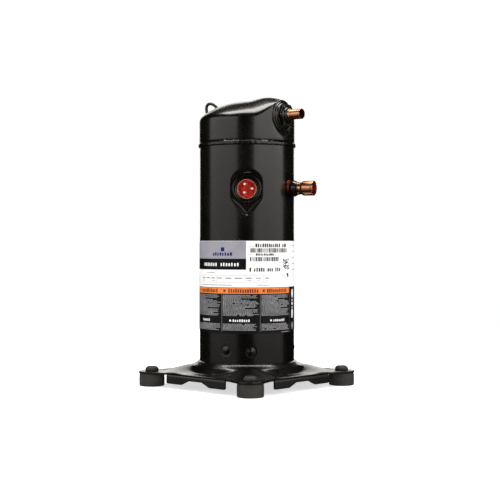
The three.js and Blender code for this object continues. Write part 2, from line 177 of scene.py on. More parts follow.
def mat_paint(name, tint=(1.25, 1.0, 0.7), rough=(0.20, 0.30), dust=0.3):
    """Gloss black enamel over pressed steel: orange peel, faint handling haze, a few dust specks."""
    m, nt, b = principled(name)
    v = coords(nt)
    cloud = noise(nt, v, 22.0, 5.0, 0.6)
    fine = noise(nt, v, 420.0, 3.0, 0.6)
    speck = noise(nt, v, 1500.0, 1.0, 0.4)
    base = ramp(nt, cloud, [(0.30, tuple(0.0010 * t for t in tint)), (0.72, tuple(0.0024 * t for t in tint))])
    dusty = span(nt, speck, 0.0, dust, 0.70, 0.80)
    col = mix(nt, dusty, base, (0.020, 0.018, 0.015))
    nt.links.new(col, b.inputs["Base Color"])
    r = math_node(nt, "ADD", span(nt, cloud, rough[0], rough[1], 0.3, 0.7), span(nt, fine, -0.02, 0.03, 0.3, 0.7))
    nt.links.new(r, b.inputs["Roughness"])
    b.inputs["Metallic"].default_value = 0.0
    b.inputs["IOR"].default_value = 1.5
    b.inputs["Coat Weight"].default_value = 0.25
    b.inputs["Coat Roughness"].default_value = 0.08
    peel = noise(nt, v, 620.0, 2.0, 0.5)
    wave = noise(nt, v, 60.0, 2.0, 0.5)
    n1 = bump(nt, b, wave, 0.06, 0.0012)
    bump(nt, b, peel, 0.10, 0.00012, after=n1)
    return m


def mat_copper(name, axis_az, heat=None):
    """Drawn copper tube: lengthwise die lines, warm tarnish that deepens where it was brazed."""
    m, nt, b = principled(name)
    tc = node(nt, "ShaderNodeTexCoord")
    rot = node(nt, "ShaderNodeMapping")
    rot.inputs["Rotation"].default_value = (0, 0, rad(90 - axis_az))
    nt.links.new(tc.outputs["Object"], rot.inputs["Vector"])
    st = node(nt, "ShaderNodeMapping")
    st.inputs["Scale"].default_value = (0.06, 1.0, 1.0)
    nt.links.new(rot.outputs["Vector"], st.inputs["Vector"])
    lines = noise(nt, st.outputs["Vector"], 1500.0, 3.0, 0.65)
    cloud = noise(nt, rot.outputs["Vector"], 140.0, 4.0, 0.6, 0.4)
    spots = noise(nt, rot.outputs["Vector"], 520.0, 2.0, 0.5)
    base = ramp(nt, cloud, [(0.26, (0.52, 0.185, 0.085)), (0.50, (0.80, 0.37, 0.20)), (0.74, (0.90, 0.50, 0.31))])
    base = mix(nt, span(nt, lines, 0.0, 0.35, 0.35, 0.7), base, (0.50, 0.20, 0.10))
    base = mix(nt, span(nt, spots, 0.0, 0.55, 0.62, 0.74), base, (0.23, 0.075, 0.04))
    if heat is not None:
        # heat tint close to the joint, measured along the tube
        sep = node(nt, "ShaderNodeSeparateXYZ")
        nt.links.new(rot.outputs["Vector"], sep.inputs["Vector"])
        near = math_node(nt, "ADD", sep.outputs["X"], math_node(nt, "MULTIPLY", cloud, 0.006))
        near = span(nt, near, 1.0, 0.0, heat[0] * MM, heat[1] * MM)
        base = mix(nt, near, base, (0.20, 0.045, 0.022))
    nt.links.new(base, b.inputs["Base Color"])
    b.inputs["Metallic"].default_value = 1.0
    nt.links.new(span(nt, cloud, 0.20, 0.36, 0.3, 0.7), b.inputs["Roughness"])
    bump(nt, b, lines, 0.12, 0.00006)
    return m


def mat_metal(name, dark, light, rough, stretch=(1, 1, 1), scale=900.0, metallic=1.0, pits=0.0, bumpd=0.00006):
    m, nt, b = principled(name)
    v = coords(nt, stretch)
    w = coords(nt)
    lines = noise(nt, v, scale, 3.0, 0.6)
    cloud = noise(nt, w, 55.0, 4.0, 0.6)
    base = ramp(nt, cloud, [(0.3, dark), (0.7, light)])
    base = mix(nt, span(nt, lines, 0.0, 0.5, 0.4, 0.75), base, tuple(0.7 * c for c in dark))
    if pits:
        pit = noise(nt, w, 1300.0, 2.0, 0.5)
        base = mix(nt, span(nt, pit, 0.0, pits, 0.60, 0.72), base, tuple(0.45 * c for c in dark))
    nt.links.new(base, b.inputs["Base Color"])
    b.inputs["Metallic"].default_value = metallic
    nt.links.new(span(nt, lines, rough[0], rough[1], 0.3, 0.7), b.inputs["Roughness"])
    bump(nt, b, lines, 0.25, bumpd)
    return m


def mat_rubber(name):
    m, nt, b = principled(name)
    v = coords(nt)
    cloud = noise(nt, v, 70.0, 4.0, 0.6)
    grain = noise(nt, v, 1900.0, 3.0, 0.6)
    ringv = coords(nt, (0.03, 0.03, 1.0))
    lines = noise(nt, ringv, 900.0, 2.0, 0.5)
    base = ramp(nt, cloud, [(0.3, (0.020, 0.0185, 0.0165)), (0.7, (0.036, 0.033, 0.029))])
    base = mix(nt, span(nt, grain, 0.0, 0.4, 0.55, 0.8), base, (0.055, 0.05, 0.045))
    nt.links.new(base, b.inputs["Base Color"])
    nt.links.new(span(nt, cloud, 0.55, 0.74, 0.3, 0.7), b.inputs["Roughness"])
    b.inputs["IOR"].default_value = 1.48
    h = math_node(nt, "ADD", grain, math_node(nt, "MULTIPLY", lines, 0.8))
    bump(nt, b, h, 0.22, 0.00012)
    return m


def mat_glass_red(name):
    """Fused red terminal glass with a faint flow pattern."""
    m, nt, b = principled(name)
    v = coords(nt)
    flow = noise(nt, v, 210.0, 4.0, 0.6, 1.2)
    bub = noise(nt, v, 1100.0, 2.0, 0.5)
    base = ramp(nt, flow, [(0.34, (0.055, 0.002, 0.001)), (0.50, (0.22, 0.006, 0.003)), (0.68, (0.52, 0.022, 0.008))])
    base = mix(nt, span(nt, bub, 0.0, 0.4, 0.62, 0.74), base, (0.50, 0.07, 0.03))
    nt.links.new(base, b.inputs["Base Color"])
    nt.links.new(span(nt, flow, 0.10, 0.26, 0.3, 0.7), b.inputs["Roughness"])
    b.inputs["IOR"].default_value = 1.52
    b.inputs["Coat Weight"].default_value = 0.6
    b.inputs["Coat Roughness"].default_value = 0.06
    bump(nt, b, flow, 0.25, 0.0006)
    return m


def mat_film(name, lo, hi, rough=(0.28, 0.42), grain=0.08, ior=1.46):
    """Printed polyester film: satin, with print mottle and a faint weave of the underlying shell."""
    m, nt, b = principled(name)
    v = coords(nt)
    cloud = noise(nt, v, 45.0, 4.0, 0.6)
    dots = noise(nt, v, 2600.0, 2.0, 0.5)
    base = ramp(nt, cloud, [(0.3, lo), (0.7, hi)])
    base = mix(nt, span(nt, dots, 0.0, grain, 0.45, 0.75), base, tuple(0.55 * c for c in lo))
    nt.links.new(base, b.inputs["Base Color"])
    nt.links.new(span(nt, cloud, rough[0], rough[1], 0.3, 0.7), b.inputs["Roughness"])
    b.inputs["IOR"].default_value = ior
    bump(nt, b, noise(nt, v, 160.0, 3.0, 0.5), 0.10, 0.00018)
    return m


def mat_plastic(name, lo, hi, rough=(0.35, 0.5)):
    m, nt, b = principled(name)
    v = coords(nt)
    cloud = noise(nt, v, 80.0, 4.0, 0.6)
    grain = noise(nt, v, 2200.0, 2.0, 0.5)
    nt.links.new(ramp(nt, cloud, [(0.3, lo), (0.7, hi)]), b.inputs["Base Color"])
    nt.links.new(span(nt, grain, rough[0], rough[1], 0.3, 0.7), b.inputs["Roughness"])
    bump(nt, b, grain, 0.2, 0.00008)
    return m


def mat_banded(name, lo, hi, period_mm, metallic, rough, axis="Z", wobble=0.4):
    """Fine repeated layers: stacked laminations along the axis, or laid winding strands around it."""
    m, nt, b = principled(name)
    v = coords(nt)
    w = node(nt, "ShaderNodeTexWave", wave_type="BANDS", bands_direction=axis, wave_profile="SIN")
    w.inputs["Scale"].default_value = 2 * math.pi / (period_mm * MM) / 20.0
    w.inputs["Distortion"].default_value = wobble
    w.inputs["Detail"].default_value = 2.0
    nt.links.new(v, w.inputs["Vector"])
    cloud = noise(nt, v, 90.0, 4.0, 0.6)
    base = mix(nt, w.outputs["Fac"], lo, hi)
    base = mix(nt, span(nt, cloud, 0.0, 0.5, 0.45, 0.75), base, tuple(0.6 * c for c in lo))
    nt.links.new(base, b.inputs["Base Color"])
    b.inputs["Metallic"].default_value = metallic
    nt.links.new(span(nt, cloud, rough[0], rough[1], 0.3, 0.7), b.inputs["Roughness"])
    bump(nt, b, w.outputs["Fac"], 0.5, 0.0002)
    return m


PAINT = mat_paint("gloss_black_paint")
PAINT_BASE = mat_paint("gloss_black_paint_base", tint=(1.5, 1.2, 0.85), rough=(0.18, 0.32), dust=0.5)
COPPER_S = mat_copper("copper_suction", SUC[0], heat=(71, 84))
COPPER_D = mat_copper("copper_discharge", DIS[0], heat=(74, 84))
BRAZE = mat_metal("braze_fillet", (0.07, 0.012, 0.006), (0.24, 0.06, 0.03), (0.35, 0.55), scale=500.0)
# Terminal pins: the pale whitish-pink base colour at low metallic is a painted highlight, standing in for the bright
# reflection off the copper pin ends.
PIN_PAINTED_HIGHLIGHT = mat_metal("pin_copper_painted_highlight", (0.90, 0.72, 0.64), (0.99, 0.90, 0.86), (0.15, 0.30), metallic=0.25)
SEALRING = mat_metal("terminal_seal_ring", (0.50, 0.22, 0.12), (0.72, 0.40, 0.26), (0.25, 0.40), metallic=0.5)
RUBBER = mat_rubber("rubber")
GLASS = mat_glass_red("terminal_glass")
FILM = mat_film("label_film", (0.80, 0.80, 0.82), (0.88, 0.88, 0.89))
LILAC = mat_film("label_lilac", (0.245, 0.240, 0.285), (0.305, 0.298, 0.345), grain=0.16)
INK = mat_film("label_black_ink", (0.0025, 0.0025, 0.003), (0.006, 0.006, 0.0065), grain=0.3, ior=1.28)
BLUE = mat_film("label_blue_ink", (0.006, 0.007, 0.075), (0.012, 0.014, 0.12), ior=1.25)
GREY = mat_film("label_grey_ink", (0.16, 0.16, 0.17), (0.28, 0.28, 0.29), grain=0.3)
TEXT = mat_film("label_text_ink", (0.20, 0.20, 0.215), (0.36, 0.36, 0.385), grain=0.5)
ORANGE = mat_film("label_orange", (0.66, 0.155, 0.022), (0.80, 0.23, 0.045), grain=0.2)
RUST = mat_film("label_rust_ink", (0.10, 0.010, 0.002), (0.17, 0.020, 0.004), grain=0.2)
STEEL = mat_metal("steel", (0.36, 0.36, 0.37), (0.60, 0.60, 0.61), (0.22, 0.42), stretch=(0.15, 0.15, 1.0))
IRON = mat_metal("cast_iron", (0.13, 0.13, 0.13), (0.26, 0.26, 0.255), (0.40, 0.62), scale=600.0, pits=0.7, bumpd=0.00015)
ALU = mat_metal("aluminium", (0.52, 0.53, 0.54), (0.74, 0.75, 0.76), (0.28, 0.46), scale=700.0)
BRONZE = mat_metal("bronze", (0.34, 0.22, 0.09), (0.62, 0.44, 0.20), (0.30, 0.48), scale=1100.0, pits=0.8)
LAMI = mat_banded("lamination", (0.10, 0.105, 0.115), (0.30, 0.31, 0.33), 1.0, 0.9, (0.35, 0.55))
WIND = mat_banded("winding", (0.26, 0.075, 0.02), (0.70, 0.30, 0.10), 1.6, 0.55, (0.22, 0.40), axis="DIAGONAL", wobble=2.5)
MOULD = mat_plastic("moulded_plastic", (0.010, 0.010, 0.012), (0.024, 0.024, 0.027))
LEAD_K = mat_plastic("lead_black", (0.012, 0.012, 0.012), (0.030, 0.030, 0.030))
LEAD_R = mat_plastic("lead_red", (0.22, 0.015, 0.008), (0.38, 0.035, 0.018))
LEAD_Y = mat_plastic("lead_yellow", (0.50, 0.38, 0.04), (0.68, 0.54, 0.08))


# ------------------------------------------------------------------ mesh helpers
def obj_from(name, verts, faces, mats, face_mats=None, sharp=38.0, weld=None):
    me = bpy.data.meshes.new(name)
    me.from_pydata([tuple(v) for v in verts], [], faces)
    me.validate()
    for m in mats:
        me.materials.append(m)
    if face_mats is not None and len(face_mats) == len(me.polygons):
        me.polygons.foreach_set("material_index", face_mats)
    bm = bmesh.new()
    bm.from_mesh(me)
    if weld:
        bmesh.ops.remove_doubles(bm, verts=bm.verts, dist=weld)
    bmesh.ops.recalc_face_normals(bm, faces=bm.faces)
    bm.to_mesh(me)
    bm.free()
    me.shade_smooth()
    me.set_sharp_from_angle(angle=rad(sharp))
    o = bpy.data.objects.new(name, me)
    bpy.context.scene.collection.objects.link(o)
    return o


def apply_mods(o, sharp=38.0):
    dg = bpy.context.evaluated_depsgraph_get()
    dg.update()
    me = bpy.data.meshes.new_from_object(o.evaluated_get(dg))
    old = o.data
    o.modifiers.clear()
    o.data = me
    bpy.data.meshes.remove(old)
    me.shade_smooth()
    me.set_sharp_from_angle(angle=rad(sharp))
    return o


def radial_matrix(t, z):
    s, c = math.sin(rad(t)), math.cos(rad(t))
    return Matrix(((c, 0, s, 0), (s, 0, -c, 0), (0, 1, 0, z * MM), (0, 0, 0, 1)))


def fillet_profile(pts, closed=False, step=0.35):
    """pts: (r, z, radius). Rounds each corner with an arc of that radius."""
    out = []
    n = len(pts)
    for i, (x, y, f) in enumerate(pts):
        if f <= 0 or (not closed and i in (0, n - 1)):
            out.append((x, y))
            continue
        p = Vector((x, y))
        a = Vector(pts[i - 1][:2]) - p
        b = Vector(pts[(i + 1) % n][:2]) - p
        la, lb = a.length, b.length
        a.normalize(); b.normalize()
        ang = a.angle(b)
        if abs(ang - math.pi) < 0.02:
            out.append((x, y))
            continue
        d = min(f / math.tan(ang / 2), 0.48 * la, 0.48 * lb)
        r = d * math.tan(ang / 2)
        p0, p1 = p + a * d, p + b * d
        cdir = (a + b).normalized()
        c = p + cdir * (r / math.sin(ang / 2))
        a0 = math.atan2(p0.y - c.y, p0.x - c.x)
        a1 = math.atan2(p1.y - c.y, p1.x - c.x)
        da = (a1 - a0 + math.pi) % (2 * math.pi) - math.pi
        k = max(3, min(9, int(abs(da) * r / step) + 2))
        for j in range(k + 1):
            q = a0 + da * j / k
            out.append((c.x + r * math.cos(q), c.y + r * math.sin(q)))
    return out


def revolve(name, pts, mats, seg=96, matrix=None, deform=None, face_mat=None, sharp=38.0):
    """pts: closed profile of (r, h) in mm; points on the axis are merged."""
    verts, faces, fm = [], [], []
    n = len(pts)
    for j in range(seg):
        a = 2 * math.pi * j / seg
        for (r, h) in pts:
            x, y, z = r * math.cos(a), r * math.sin(a), h
            if deform:
                x, y, z = deform(x, y, z)
            v = Vector((x * MM, y * MM, z * MM))
            verts.append(matrix @ v if matrix is not None else v)
    for j in range(seg):
        k = (j + 1) % seg
        for i in range(n):
            l = (i + 1) % n
            if pts[i][0] < 1e-6 and pts[l][0] < 1e-6:
                continue
            quad = [j * n + i, k * n + i, k * n + l, j * n + l]
            if pts[i][0] < 1e-6:
                quad = [j * n + i, k * n + l, j * n + l]
            elif pts[l][0] < 1e-6:
                quad = [j * n + i, k * n + i, j * n + l]
            faces.append(quad)
            fm.append(face_mat(i) if face_mat else 0)
    o = obj_from(name, verts, faces, mats, fm if face_mat else None, sharp=sharp, weld=1e-7)
    return o


def tube_along(name, pts, radius, mat, seg=20, sub=8, matrix=None, ends=True):
    """Round bar through points (mm) on a Catmull-Rom path with rounded ends."""
    P = [Vector(p) for p in pts]
    path = []
    for i in range(len(P) - 1):
        p0, p1, p2, p3 = P[max(i - 1, 0)], P[i], P[i + 1], P[min(i + 2, len(P) - 1)]
        for k in range(sub):
            t = k / sub
            path.append(0.5 * ((2 * p1) + (p2 - p0) * t + (2 * p0 - 5 * p1 + 4 * p2 - p3) * t * t + (3 * p1 - p0 - 3 * p2 + p3) * t ** 3))
    path.append(P[-1])
    verts, faces = [], []
    nrm = None
    rings = []
    for i, p in enumerate(path):
        d = (path[min(i + 1, len(path) - 1)] - path[max(i - 1, 0)]).normalized()
        if nrm is None:
            nrm = d.orthogonal().normalized()
        nrm = (nrm - d * nrm.dot(d)).normalized()
        bi = d.cross(nrm)
        rings.append((p, nrm.copy(), bi, radius))
    if ends:
        p, nn, bi, r = rings[0]
        d0 = (path[0] - path[1]).normalized()
        rings = [(p + d0 * r * 0.55, nn, bi, r * 0.45), (p + d0 * r * 0.35, nn, bi, r * 0.82)] + rings
        p, nn, bi, r = rings[-1]
        d1 = (path[-1] - path[-2]).normalized()
        rings += [(p + d1 * r * 0.35, nn, bi, r * 0.82), (p + d1 * r * 0.55, nn, bi, r * 0.45)]
    for p, nn, bi, r in rings:
        for j in range(seg):
            a = 2 * math.pi * j / seg
            v = (p + nn * (r * math.cos(a)) + bi * (r * math.sin(a))) * MM
            verts.append(matrix @ v if matrix is not None else v)
    for i in range(len(rings) - 1):
        for j in range(seg):
            k = (j + 1) % seg
            faces.append([i * seg + j, i * seg + k, (i + 1) * seg + k, (i + 1) * seg + j])
    faces.append(list(range(seg))[::-1])
    faces.append([(len(rings) - 1) * seg + j for j in range(seg)])
    return obj_from(name, verts, faces, [mat], sharp=50)


def bool_cut(o, cutter, op="DIFFERENCE"):
    m = o.modifiers.new("cut", "BOOLEAN")
    m.operation = op
    m.solver = "EXACT"
    m.object = cutter
    apply_mods(o)
    bpy.data.objects.remove(cutter, do_unlink=True)
    return o


def cylinder_cutter(t, z, r, h0, h1, seg=96):
    return revolve("cutter", [(0, h0), (r, h0), (r, h1), (0, h1)], [PAINT], seg=seg, matrix=radial_matrix(t, z))


def done(o, body, slot, *nodes):
    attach(o, body)
    if nodes:
        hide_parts(*nodes)
    return o


# ------------------------------------------------------------------ shell tube
def land(t, z, az, zc, flat, r0, r1, base, tail=0.0):
    """Radius of the shell wall where a round flat is pressed into it."""
    d = (t - az + 180) % 360 - 180
    if abs(d) > 40:
        return base
    lat = abs(SHELL_R * math.sin(rad(d)))
    v = (z - zc)
    rho = math.hypot(lat, v)
    if tail and v < 0:
        # the pressed flat runs out downward to a point
        b = math.asin(r0 / tail)
        run = lat * math.sin(b) + (v + tail) * math.cos(b)
        if run < 0:
            rho = r0 + math.hypot(lat, v + tail)
        elif run < tail * math.cos(b):
            rho = r0 + lat * math.cos(b) - (v + tail) * math.sin(b)
    w = 1 - smooth((rho - r0) / (r1 - r0))
    return base + (min(base, flat / math.cos(rad(d))) - base) * w


def merged_steps(lo, hi, coarse, fine_ranges, fine):
    vals = set(np.round(np.linspace(lo, hi, max(2, int(round((hi - lo) / coarse)) + 1)), 4))
    out = [v for v in vals if not any(a < v < b for a, b in fine_ranges)]
    for a, b in fine_ranges:
        out += list(np.round(np.linspace(a, b, int(round((b - a) / fine)) + 1), 4))
    return sorted(set(out))


def shell_radius(t, z):
    r = SHELL_R
    r = land(t, z, TER[0], TER[1], 63.0, 22.4, 27.4, r, tail=33.0)
    r = land(t, z, SUC[0], SUC[1], 64.9, 13.5, 25.0, r)
    # plug-weld dimples over the lower bearing bracket
    for az, zc in ((17.5, 54.2), (48.0, 53.0), (137.5, 54), (168, 53), (257.5, 54), (288, 53)):
        d = (t - az + 180) % 360 - 180
        if abs(d) < 8:
            rho = math.hypot(SHELL_R * rad(d), z - zc)
            r += 1.3 * math.exp(-(rho / 3.4) ** 2) - 0.4 * math.exp(-((rho - 6.3) / 1.3) ** 2)
    return r


def build_shell():
    ts = merged_steps(0, 360, 3.0, [(12, 26), (17, 68), (92, 128)], 0.8)
    ts = [t for t in ts if t < 359.9]
    dim = [a for a in np.arange(0, 360, 1.0) if any(abs((a - q + 180) % 360 - 180) < 7 for q in (17.5, 48, 137.5, 168, 257.5, 288))]
    ts = sorted(set(ts) | set(dim))
    zs = merged_steps(30.6, 336.4, 9.0, [(238, 308)], 1.2)
    zs = sorted(set(zs) | set(np.arange(44, 64, 0.9)))
    n = len(ts)
    verts, faces = [], []
    inner = [z for i, z in enumerate(reversed(zs)) if i % 2 == 0]
    rows = [(SHELL_R - 0.6, 30.0)] + [(None, z) for z in zs] + [(SHELL_R - 0.5, 337.0), (SHELL_IN, 337.0)] + [(-1.0, z) for z in inner] + [(SHELL_IN, 30.0)]
    for (fixed, z) in rows:
        for t in ts:
            r = fixed if fixed is not None else shell_radius(t, z)
            if fixed is None and (z > 336 or z < 31):
                r = SHELL_R
            if fixed == -1.0:
                r = min(SHELL_IN, shell_radius(t, z) - 2.5) if 70 < z < 330 else SHELL_IN
            verts.append((r * math.sin(rad(t)) * MM, -r * math.cos(rad(t)) * MM, z * MM))
    R = len(rows)
    for i in range(R):
        k = (i + 1) % R
        for j in range(n):
            l = (j + 1) % n
            faces.append([i * n + j, i * n + l, k * n + l, k * n + j])
    o = obj_from("shell_tube_body", verts, faces, [PAINT])
    # inner wall has to clear the pressed flats
    bool_cut(o, cylinder_cutter(TER[0], TER[1], 20.25, 40, 90))
    bool_cut(o, cylinder_cutter(SUC[0], SUC[1], 8.9, 40, 90))
    return done(o, "shell", "gloss_black_paint", "shell_tube")


shell = build_shell()

# ------------------------------------------------------------------ top cap
S_T = [0, 0.003, 0.010, 0.025, 0.05, 0.10, 0.23, 0.355, 0.5, 0.734, 1.0]
S_V = [0, 0.065, 0.120, 0.185, 0.255, 0.350, 0.530, 0.665, 0.790, 0.920, 1.0]


def interp(x, X, Y):
    """Monotone cubic through the points."""
    i = max(0, min(len(X) - 2, int(np.searchsorted(X, x)) - 1))
    d = [(Y[k + 1] - Y[k]) / (X[k + 1] - X[k]) for k in range(len(X) - 1)]
    m = [d[0]] + [0 if d[k - 1] * d[k] <= 0 else 2 * d[k - 1] * d[k] / (d[k - 1] + d[k]) for k in range(1, len(d))] + [0.6 * d[-1]]
    h = X[i + 1] - X[i]
    s = (x - X[i]) / h
    return (Y[i] * (2 * s ** 3 - 3 * s * s + 1) + m[i] * h * (s ** 3 - 2 * s * s + s)
            + Y[i + 1] * (3 * s * s - 2 * s ** 3) + m[i + 1] * h * (s ** 3 - s * s))


def cap_f(t):
    d = abs((t - DIS[0] + 180) % 360 - 180)
    return smooth((44 - d) / 40)


def cap_z(t, r):
    f = cap_f(t)
    s = max(0.0, min(1.0, 1 - r / CAP_R))
    sh = 372.6 + 23.2 * f
    zc = 403.2
    z = sh + (zc - sh) * interp(s, S_T, S_V)
    d = abs((t - DIS[0] + 180) % 360 - 180)
    wide = smooth((78 - d) / 74.0)
    blend = smooth(r / 14.0)
    return z + 4.2 * wide * blend * math.exp(-((r - 43) / 24.0) ** 2)


def build_cap():
    ts = merged_steps(0, 360, 3.0, [(44, 144)], 1.5)
    ts = [t for t in ts if t < 359.9]
    n = len(ts)
    rr = [CAP_R * (1 - s) for s in (0, 0.002, 0.005, 0.01, 0.017, 0.026, 0.04, 0.06, 0.085, 0.115, 0.15, 0.2, 0.26, 0.32, 0.39, 0.46, 0.54, 0.63, 0.72, 0.81, 0.9, 0.96)]
    verts, faces, rows = [], [], []

    def row(fn):
        start = len(verts)
        for t in ts:
            r, z = fn(t)
            verts.append((r * math.sin(rad(t)) * MM, -r * math.cos(rad(t)) * MM, z * MM))
        rows.append(start)

    row(lambda t: (CAP_R - 3.2, 343.3))
    row(lambda t: (CAP_R - 0.5, 343.3))
    row(lambda t: (CAP_R - 0.1, 343.9))
    levels = [0.02, 0.08, 0.16, 0.25, 0.34, 0.43, 0.52, 0.61, 0.70, 0.79, 0.88, 0.95]
    for lv in levels:
        def side(t, lv=lv):
            z = 343.6 + (cap_z(t, CAP_R) - 343.6) * lv
            r = CAP_R
            # round flat pressed in for the discharge fitting
            d = (t - DIS[0] + 180) % 360 - 180
            if abs(d) < 40:
                lat = CAP_R * math.sin(rad(d))
                rho = math.hypot(lat, z - DIS[1])
                w = 1 - smooth((rho - 20.5) / 8.0)
                r = CAP_R + (min(CAP_R, 63.4 / math.cos(rad(d))) - CAP_R) * w
            return r, z
        row(side)
    for r0 in rr:
        def top(t, r0=r0):
            z = cap_z(t, r0)
            d = (t - DIS[0] + 180) % 360 - 180
            r = r0
            if abs(d) < 40 and r0 > 55:
                lat = r0 * math.sin(rad(d))
                rho = math.hypot(lat, z - DIS[1])
                w = 1 - smooth((rho - 20.5) / 8.0)
                r = min(r0, r0 + (63.4 / math.cos(rad(d)) - CAP_R) * w)
            return r, z
        row(top)
    top_last = rows[-1]
    verts.append((0, 0, cap_z(0, 0) * MM))
    apex = len(verts) - 1
    inner_start = len(rows)
    for r0 in (CAP_R - 3.2, CAP_R - 4.5, 58, 48, 36, 22, 9):
        row(lambda t, r0=r0: (min(r0, 60.0) if abs((t - DIS[0] + 180) % 360 - 180) < 24 else r0, cap_z(t, r0 + 3.0) - 3.4 - (1.2 if r0 > 60 else 0)))
    verts.append((0, 0, (cap_z(0, 0) - 3.3) * MM))
    apex_in = len(verts) - 1
    # outer skin, bottom lip included
    seq = rows[:inner_start]
    for a, b in zip(seq[:-1], seq[1:]):
        for j in range(n):
            l = (j + 1) % n
            faces.append([a + j, a + l, b + l, b + j])
    for j in range(n):
        faces.append([top_last + j, top_last + (j + 1) % n, apex])
    seq = [rows[0]] + rows[inner_start:]
    for a, b in zip(seq[:-1], seq[1:]):
        for j in range(n):
            l = (j + 1) % n
            faces.append([a + l, a + j, b + j, b + l])
    for j in range(n):
        faces.append([rows[-1] + (j + 1) % n, rows[-1] + j, apex_in])
    o = obj_from("top_cap_pressing", verts, faces, [PAINT], sharp=60)
    bool_cut(o, cylinder_cutter(DIS[0], DIS[1], 8.4, 40, 90))
    for p in o.data.polygons:
        p.use_smooth = True
    return done(o, "shell", "gloss_black_paint", "top_cap")


cap = build_cap()

# ------------------------------------------------------------------ seam: separator rim with its weld bead
def bead(x, y, z):
    r = math.hypot(x, y)
    if r < 66.5:
        return x, y, z
    a = math.atan2(y, x)
    k = 1 + (0.16 * math.sin(a * 61 + 1.7 * math.sin(a * 7)) + 0.12 * math.sin(a * 113)) / r
    dz = 0.22 * math.sin(a * 23) + 0.12 * math.sin(a * 57)
    return x * k, y * k, z + dz * smooth((r - 66.5) / 1.5)


sep_prof = fillet_profile([
    (10, 356, 0), (40, 356, 4), (60, 341, 2), (61, 337.3, 0.4), (66.9, 337.25, 0.3), (68.0, 336.6, 0.5), (68.95, 337.9, 1.0), (69.0, 340.9, 1.2),
    (67.72, 342.6, 0.5), (67.2, 343.9, 0.5), (67.0, 343.0, 0.2), (64.5, 343.0, 0.2), (62.5, 343.6, 1.0), (41.5, 360, 4), (10, 360, 0)], closed=True)
separator = revolve("separator_plate_welded", sep_prof, [PAINT], seg=240, deform=bead)
done(separator, "shell", "gloss_black_paint", "separator_plate")

# ------------------------------------------------------------------ lower shell
low_prof = fillet_profile([
    (0, 11, 0), (30, 12, 20), (50, 16.5, 20), (60, 23, 8), (63.7, 32, 6), (63.7, 44, 0.4), (60.9, 44, 0.4), (60.9, 32.5, 6), (57.5, 25.5, 8), (48.5, 19.4, 18), (0, 14, 0)])
lower = revolve("lower_shell_dish", low_prof, [PAINT_BASE], seg=144)
done(lower, "shell", "gloss_black_paint", "lower_shell")

# ------------------------------------------------------------------ base plate
HOLE, EAR_R, SIDE = 95.25, 18.6, 104.0
PLATE_TOP, THICK, BOSS_TOP, FLANGE_Z = 21.0, 2.9, 36.3, 6.4


def lobe_k(t):
    d = abs((t % 90) - 45)
    return smooth(1 - d / 33.0)


RIDGE_R = [67.3, 69.2, 71.5, 76.8, 86, 95.4, 105, 114, 122]
RIDGE_Z = [36.3, 35.6, 33.3, 31.2, 29.6, 27.4, 24.6, 22.0, 21.0]
SIDE_R = [67.3, 69.5, 73.5, 77.5, 80.3, 82.6, 86, 96, 122]
SIDE_Z = [36.3, 35.3, 32.2, 29.0, 24.6, 21.8, 21.0, 21.0, 21.0]


def plate_z(x, y):
    r = math.hypot(x, y)
    t = math.degrees(math.atan2(y, x)) % 360
    k = lobe_k(t)
    a = interp(min(r, 121.99), RIDGE_R, RIDGE_Z)
    b = interp(min(r, 121.99), SIDE_R, SIDE_Z)
    return b + (a - b) * k


def side_line(u):
    """Half outline of one side: distance of the edge from the axis, the same along the whole side; u, the position
    along the side, is not used.
    """
    return SIDE


def outline_polar(t):
    """Edge radius of the flat plate at direction t (degrees from +X), with the ears."""
    a = (t % 90)
    if a > 45:
        a = 90 - a
    # first octant: side x = SIDE for small a, then the ear
    pts = [(SIDE, 0), (SIDE, 58), (SIDE + 1.0, 68), (SIDE + 4.4, 77.0)]
    for q in np.arange(-24, 46, 3.0):
        pts.append((HOLE + EAR_R * math.cos(rad(q)), HOLE + EAR_R * math.sin(rad(q))))
    pts.append((HOLE + EAR_R * math.cos(rad(45)), HOLE + EAR_R * math.sin(rad(45))))
    A = [math.degrees(math.atan2(y, x)) for x, y in pts]
    X = [p[0] for p in pts]
    Y = [p[1] for p in pts]
    for i in range(len(A) - 1):
        if A[i] <= a <= A[i + 1] + 1e-9:
            # intersect the ray with the segment
            x0, y0, x1, y1 = X[i], Y[i], X[i + 1], Y[i + 1]
            c, s = math.cos(rad(a)), math.sin(rad(a))
            den = (x1 - x0) * s - (y1 - y0) * c
            k = (y0 * c - x0 * s) / den if abs(den) > 1e-9 else 0.0
            return math.hypot(x0 + (x1 - x0) * k, y0 + (y1 - y0) * k)
    return math.hypot(X[-1], Y[-1])


